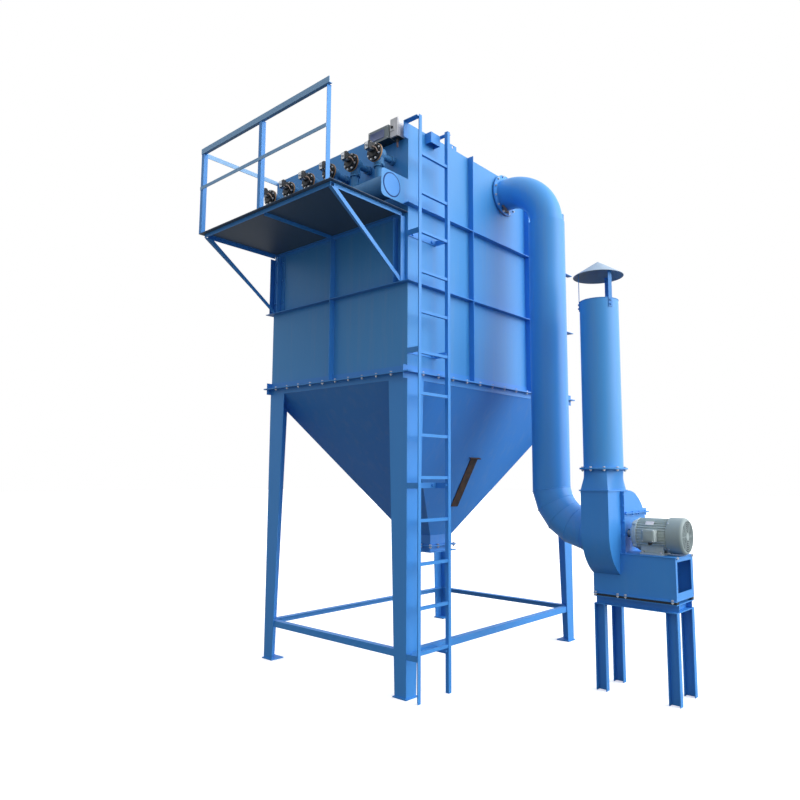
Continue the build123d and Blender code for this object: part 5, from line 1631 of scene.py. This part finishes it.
    def terminal_box(self) -> None:
        """Put the lid, its screws and the cable gland on the terminal box."""
        x, y, z = self.box
        lid = self.batch("terminal_lid", Coat.COWL)
        lid.add(pad(self.lid_size, self.lid_size, self.lid, self.lid_corner), at(x, y, z, Facing.FRONT))
        lid.close()
        screws = self.batch("terminal_screws", Coat.ZINC)
        off = self.lid_screw_off
        for side_x in (1, -1):
            for side_z in (1, -1):
                spot = at(x + side_x * off, y - self.lid_screw_up, z + side_z * off, Facing.FRONT)
                screws.add(lathe(self.lid_screw, 16), spot)
        screws.close()
        gland = self.batch("terminal_gland", Coat.KNOB)
        spot = at(x, y + self.gland_off[0], z + self.gland_off[1], Facing.DOWN)
        gland.add(lathe(self.gland_nut, 6), spot)
        gland.add(lathe(self.gland_cap, 24), spot)
        gland.close()

    def fasteners(self) -> None:
        """Set the foot bolts and the blank plate with its rivets."""
        bolts = self.batch("motor_foot_bolts", Coat.ZINC)
        for x in self.shoe_x:
            for side in (1, -1):
                y = self.axis_y + side * self.shoe_off
                bolts.add(self.shoe_bolt.head(), at(x, y, self.shoe_top, spin=any_turn()))
        bolts.close()
        plate = self.batch("motor_blank_plate", Coat.BOX_WHITE)
        out = Vector((0, *self.plate_slope)).normalized()
        spot = Vector((self.plate_x, self.axis_y, self.axis_z)) + out * self.plate_out
        lean = Matrix(((1, 0, 0, 0), (0, out.z, out.y, 0), (0, -out.y, out.z, 0), (0, 0, 0, 1)))
        place = Matrix.Translation(spot) @ lean
        plate.add(pad(*self.plate_size, self.plate, self.plate_corner), place)
        off_x, off_y = self.rivet_off
        for x in (-off_x, off_x):
            for y in (-off_y, off_y):
                plate.add(lathe(self.rivet, 10), place @ Matrix.Translation((x, y, 0)))
        plate.close()

    def bell(self) -> None:
        """Cast the ribs and bolt bosses of the drive-end bell."""
        ribs = self.batch("bell_ribs", Coat.MOTOR)
        bolts = self.batch("bell_bolts", Coat.ZINC)
        rib = pad(*self.bell_rib_size, self.bell_rib).moved(Matrix.Rotation(math.pi / 2, 4, "Z"))
        middle = Matrix.Translation((self.bell_x, self.axis_y, self.axis_z))
        for angle in spread(self.bell_ribs, 0.5):
            place = middle @ Matrix.Rotation(-angle, 4, "X")
            ribs.add(rib, place @ Matrix.Translation((self.bell_rib_in, 0, 0)))
        for angle in spread(self.bosses, 0.5):
            y = self.axis_y + self.boss_ring * math.cos(angle)
            z = self.axis_z + self.boss_ring * math.sin(angle)
            ribs.add(lathe(self.boss, 20), at(self.boss_x, y, z, Facing.LEFT))
            spot = at(self.boss_x - self.boss_half, y, z, Facing.LEFT, self.bell_spin)
            bolts.add(self.bell_bolt.head(), spot)
        ribs.add(lathe(self.bell_collar, 40), at(self.bell_x, self.axis_y, self.axis_z, Facing.LEFT))
        ribs.close()
        bolts.close()


# Stage


@dataclass
class Studio:
    """Camera, lamp, floor and background of the picture."""

    camera_mm: tuple[float, float, float] = (3219.9, -3641.0, 1532.0)
    yaw: float = 42.10
    pitch: float = 6.47
    roll: float = 0.324
    lens_mm: float = 30.44
    sensor_mm: float = 36.0
    clip_end: float = 200.0
    lamp_at: tuple[float, float, float] = (10.5, 4.0, 7.0)
    lamp_to: tuple[float, float, float] = (-0.8, 1.2, 2.2)
    lamp_size: float = 9.0
    lamp_watts: float = 380.0
    floor_half: float = 60.0
    floor_seen: str = "#F2F2F2"
    floor_lit: str = "#767674"
    floor_glow: float = 0.5
    floor_mirrored: float = 0.2
    sky: str = "#F4F7FA"
    sky_mirrored: float = 0.7
    dim: float = 0.34
    side_glow: float = 3.3
    side_turn: float = 38.0
    side_edge: float = 0.3
    zenith_glow: float = 1.0

    def build(self) -> None:
        """Place the camera, the lamp, the floor and the background."""
        self.place_camera()
        self.place_lamp()
        self.lay_floor()
        self.paint_world()

    def place_camera(self) -> None:
        """Set the camera where the photograph was taken."""
        yaw, pitch, roll = (math.radians(v) for v in (self.yaw, self.pitch, self.roll))
        level = math.cos(pitch)
        ahead = Vector((-math.sin(yaw) * level, math.cos(yaw) * level, math.sin(pitch)))
        right = Vector((math.cos(yaw), math.sin(yaw), 0.0))
        up = right.cross(ahead)
        tilted_right = math.cos(roll) * right + math.sin(roll) * up
        tilted_up = -math.sin(roll) * right + math.cos(roll) * up
        data = bpy.data.cameras.new("photo_camera")
        data.sensor_fit = "HORIZONTAL"
        data.sensor_width = self.sensor_mm
        data.lens = self.lens_mm
        data.clip_end = self.clip_end
        camera = bpy.data.objects.new("photo_camera", data)
        bpy.context.scene.collection.objects.link(camera)
        turn = Matrix((tilted_right, tilted_up, -ahead)).transposed().to_4x4()
        camera.matrix_world = Matrix.Translation(Vector(self.camera_mm) * MM) @ turn
        bpy.context.scene.camera = camera

    def place_lamp(self) -> None:
        """Hang one large soft box on the right of the object."""
        spot = Vector(self.lamp_at)
        data = bpy.data.lights.new("soft_box_right", "AREA")
        data.shape = "SQUARE"
        data.size = self.lamp_size
        data.energy = self.lamp_watts
        lamp = bpy.data.objects.new("soft_box_right", data)
        bpy.context.scene.collection.objects.link(lamp)
        turn = (Vector(self.lamp_to) - spot).to_track_quat("-Z", "Y").to_matrix().to_4x4()
        lamp.matrix_world = Matrix.Translation(spot) @ turn

    def shows_background(self, tree: bpy.types.NodeTree, mirrored: float) -> bpy.types.NodeSocket:
        """Find the share of the white background that a ray sees.

        Args:
            tree: The node tree of the floor or the world.
            mirrored: Share that glossy rays see.

        Returns:
            One for camera and transmission rays, and the mirrored share for glossy rays.
        """
        path = add_node(tree, "ShaderNodeLightPath").outputs
        most = {"operation": "MAXIMUM"}
        direct = {0: path["Is Camera Ray"], 1: path["Is Transmission Ray"]}
        clear = add_node(tree, "ShaderNodeMath", most, direct)
        share = {"operation": "MULTIPLY", 1: mirrored}
        glossy = add_node(tree, "ShaderNodeMath", share, {0: path["Is Glossy Ray"]})
        return add_node(tree, "ShaderNodeMath", most, {0: clear.outputs[0], 1: glossy.outputs[0]}).outputs[0]

    def lay_floor(self) -> None:
        """Lay a plain pale floor that keeps the object's shadow and throws little light back."""
        half = self.floor_half
        mesh = bpy.data.meshes.new("floor")
        corners = [(-half, -half, 0.0), (half, -half, 0.0), (half, half, 0.0), (-half, half, 0.0)]
        mesh.from_pydata(corners, [], [(0, 1, 2, 3)])
        floor = bpy.data.objects.new("floor", mesh)
        bpy.context.scene.collection.objects.link(floor)
        material = bpy.data.materials.new("pale_studio_floor")
        material.use_nodes = True
        tree = material.node_tree
        tree.nodes.remove(tree.nodes["Principled BSDF"])
        seen = self.shows_background(tree, self.floor_mirrored)
        pale = add_node(tree, "ShaderNodeBsdfDiffuse", {"Color": linear(self.floor_seen)})
        light = {"Color": linear("#FFFFFF"), "Strength": self.floor_glow}
        glow = add_node(tree, "ShaderNodeEmission", light)
        shown = add_node(tree, "ShaderNodeAddShader", {}, {0: pale.outputs[0], 1: glow.outputs[0]})
        dull = add_node(tree, "ShaderNodeBsdfDiffuse", {"Color": linear(self.floor_lit)})
        mix = add_node(tree, "ShaderNodeMixShader", {}, {0: seen, 1: dull.outputs[0], 2: shown.outputs[0]})
        tree.links.new(mix.outputs[0], tree.nodes["Material Output"].inputs["Surface"])
        floor.data.materials.append(material)

    def paint_world(self) -> None:
        """Light the object with a soft sky, brighter on the right, and show white behind it."""
        world = bpy.data.worlds.new("studio_world")
        bpy.context.scene.world = world
        world.use_nodes = True
        tree = world.node_tree
        tree.nodes.clear()
        way = add_node(tree, "ShaderNodeTexCoord").outputs["Generated"]
        turn = math.radians(self.side_turn)
        toward = {"operation": "DOT_PRODUCT", 1: (math.cos(turn), math.sin(turn), 0.0)}
        near = add_node(tree, "ShaderNodeVectorMath", toward, {0: way}).outputs["Value"]
        soft = {"interpolation_type": "SMOOTHSTEP", "From Min": self.side_edge, "To Max": self.side_glow}
        side = add_node(tree, "ShaderNodeMapRange", soft, {"Value": near}).outputs["Result"]
        height = add_node(tree, "ShaderNodeSeparateXYZ", {}, {0: way}).outputs["Z"]
        squared = add_node(tree, "ShaderNodeMath", {"operation": "MULTIPLY"}, {0: height, 1: height})
        rise = {"operation": "MULTIPLY_ADD", 1: self.zenith_glow, 2: self.dim}
        zenith = add_node(tree, "ShaderNodeMath", rise, {0: squared.outputs[0]}).outputs[0]
        total = add_node(tree, "ShaderNodeMath", {"operation": "ADD"}, {0: side, 1: zenith}).outputs[0]
        lit = add_node(tree, "ShaderNodeBackground", {"Color": linear(self.sky)}, {"Strength": total})
        plain = {"Color": linear("#FFFFFF"), "Strength": 1.0}
        white = add_node(tree, "ShaderNodeBackground", plain)
        seen = self.shows_background(tree, self.sky_mirrored)
        mix = add_node(tree, "ShaderNodeMixShader", {}, {0: seen, 1: lit.outputs[0], 2: white.outputs[0]})
        out = add_node(tree, "ShaderNodeOutputWorld")
        tree.links.new(mix.outputs[0], out.inputs["Surface"])


def main() -> None:
    """Build every sub-assembly in order."""
    logging.basicConfig(level=logging.INFO, format="%(message)s")
    bpy.context.scene.view_settings.view_transform = "Standard"
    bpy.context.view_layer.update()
    palette = Palette().build()
    for assembly in (
        Bodywork,
        JointFlange,
        WallWelds,
        HopperTrim,
        BracketBolts,
        RailWelds,
        HeaderValves,
        ControlBoxes,
        LadderTrim,
        DuctTrim,
        StackTrim,
        FanTrim,
        MotorTrim,
    ):
        assembly(palette).build()
    Studio().build()
    bpy.context.view_layer.update()


if __name__ == "__main__":
    main()
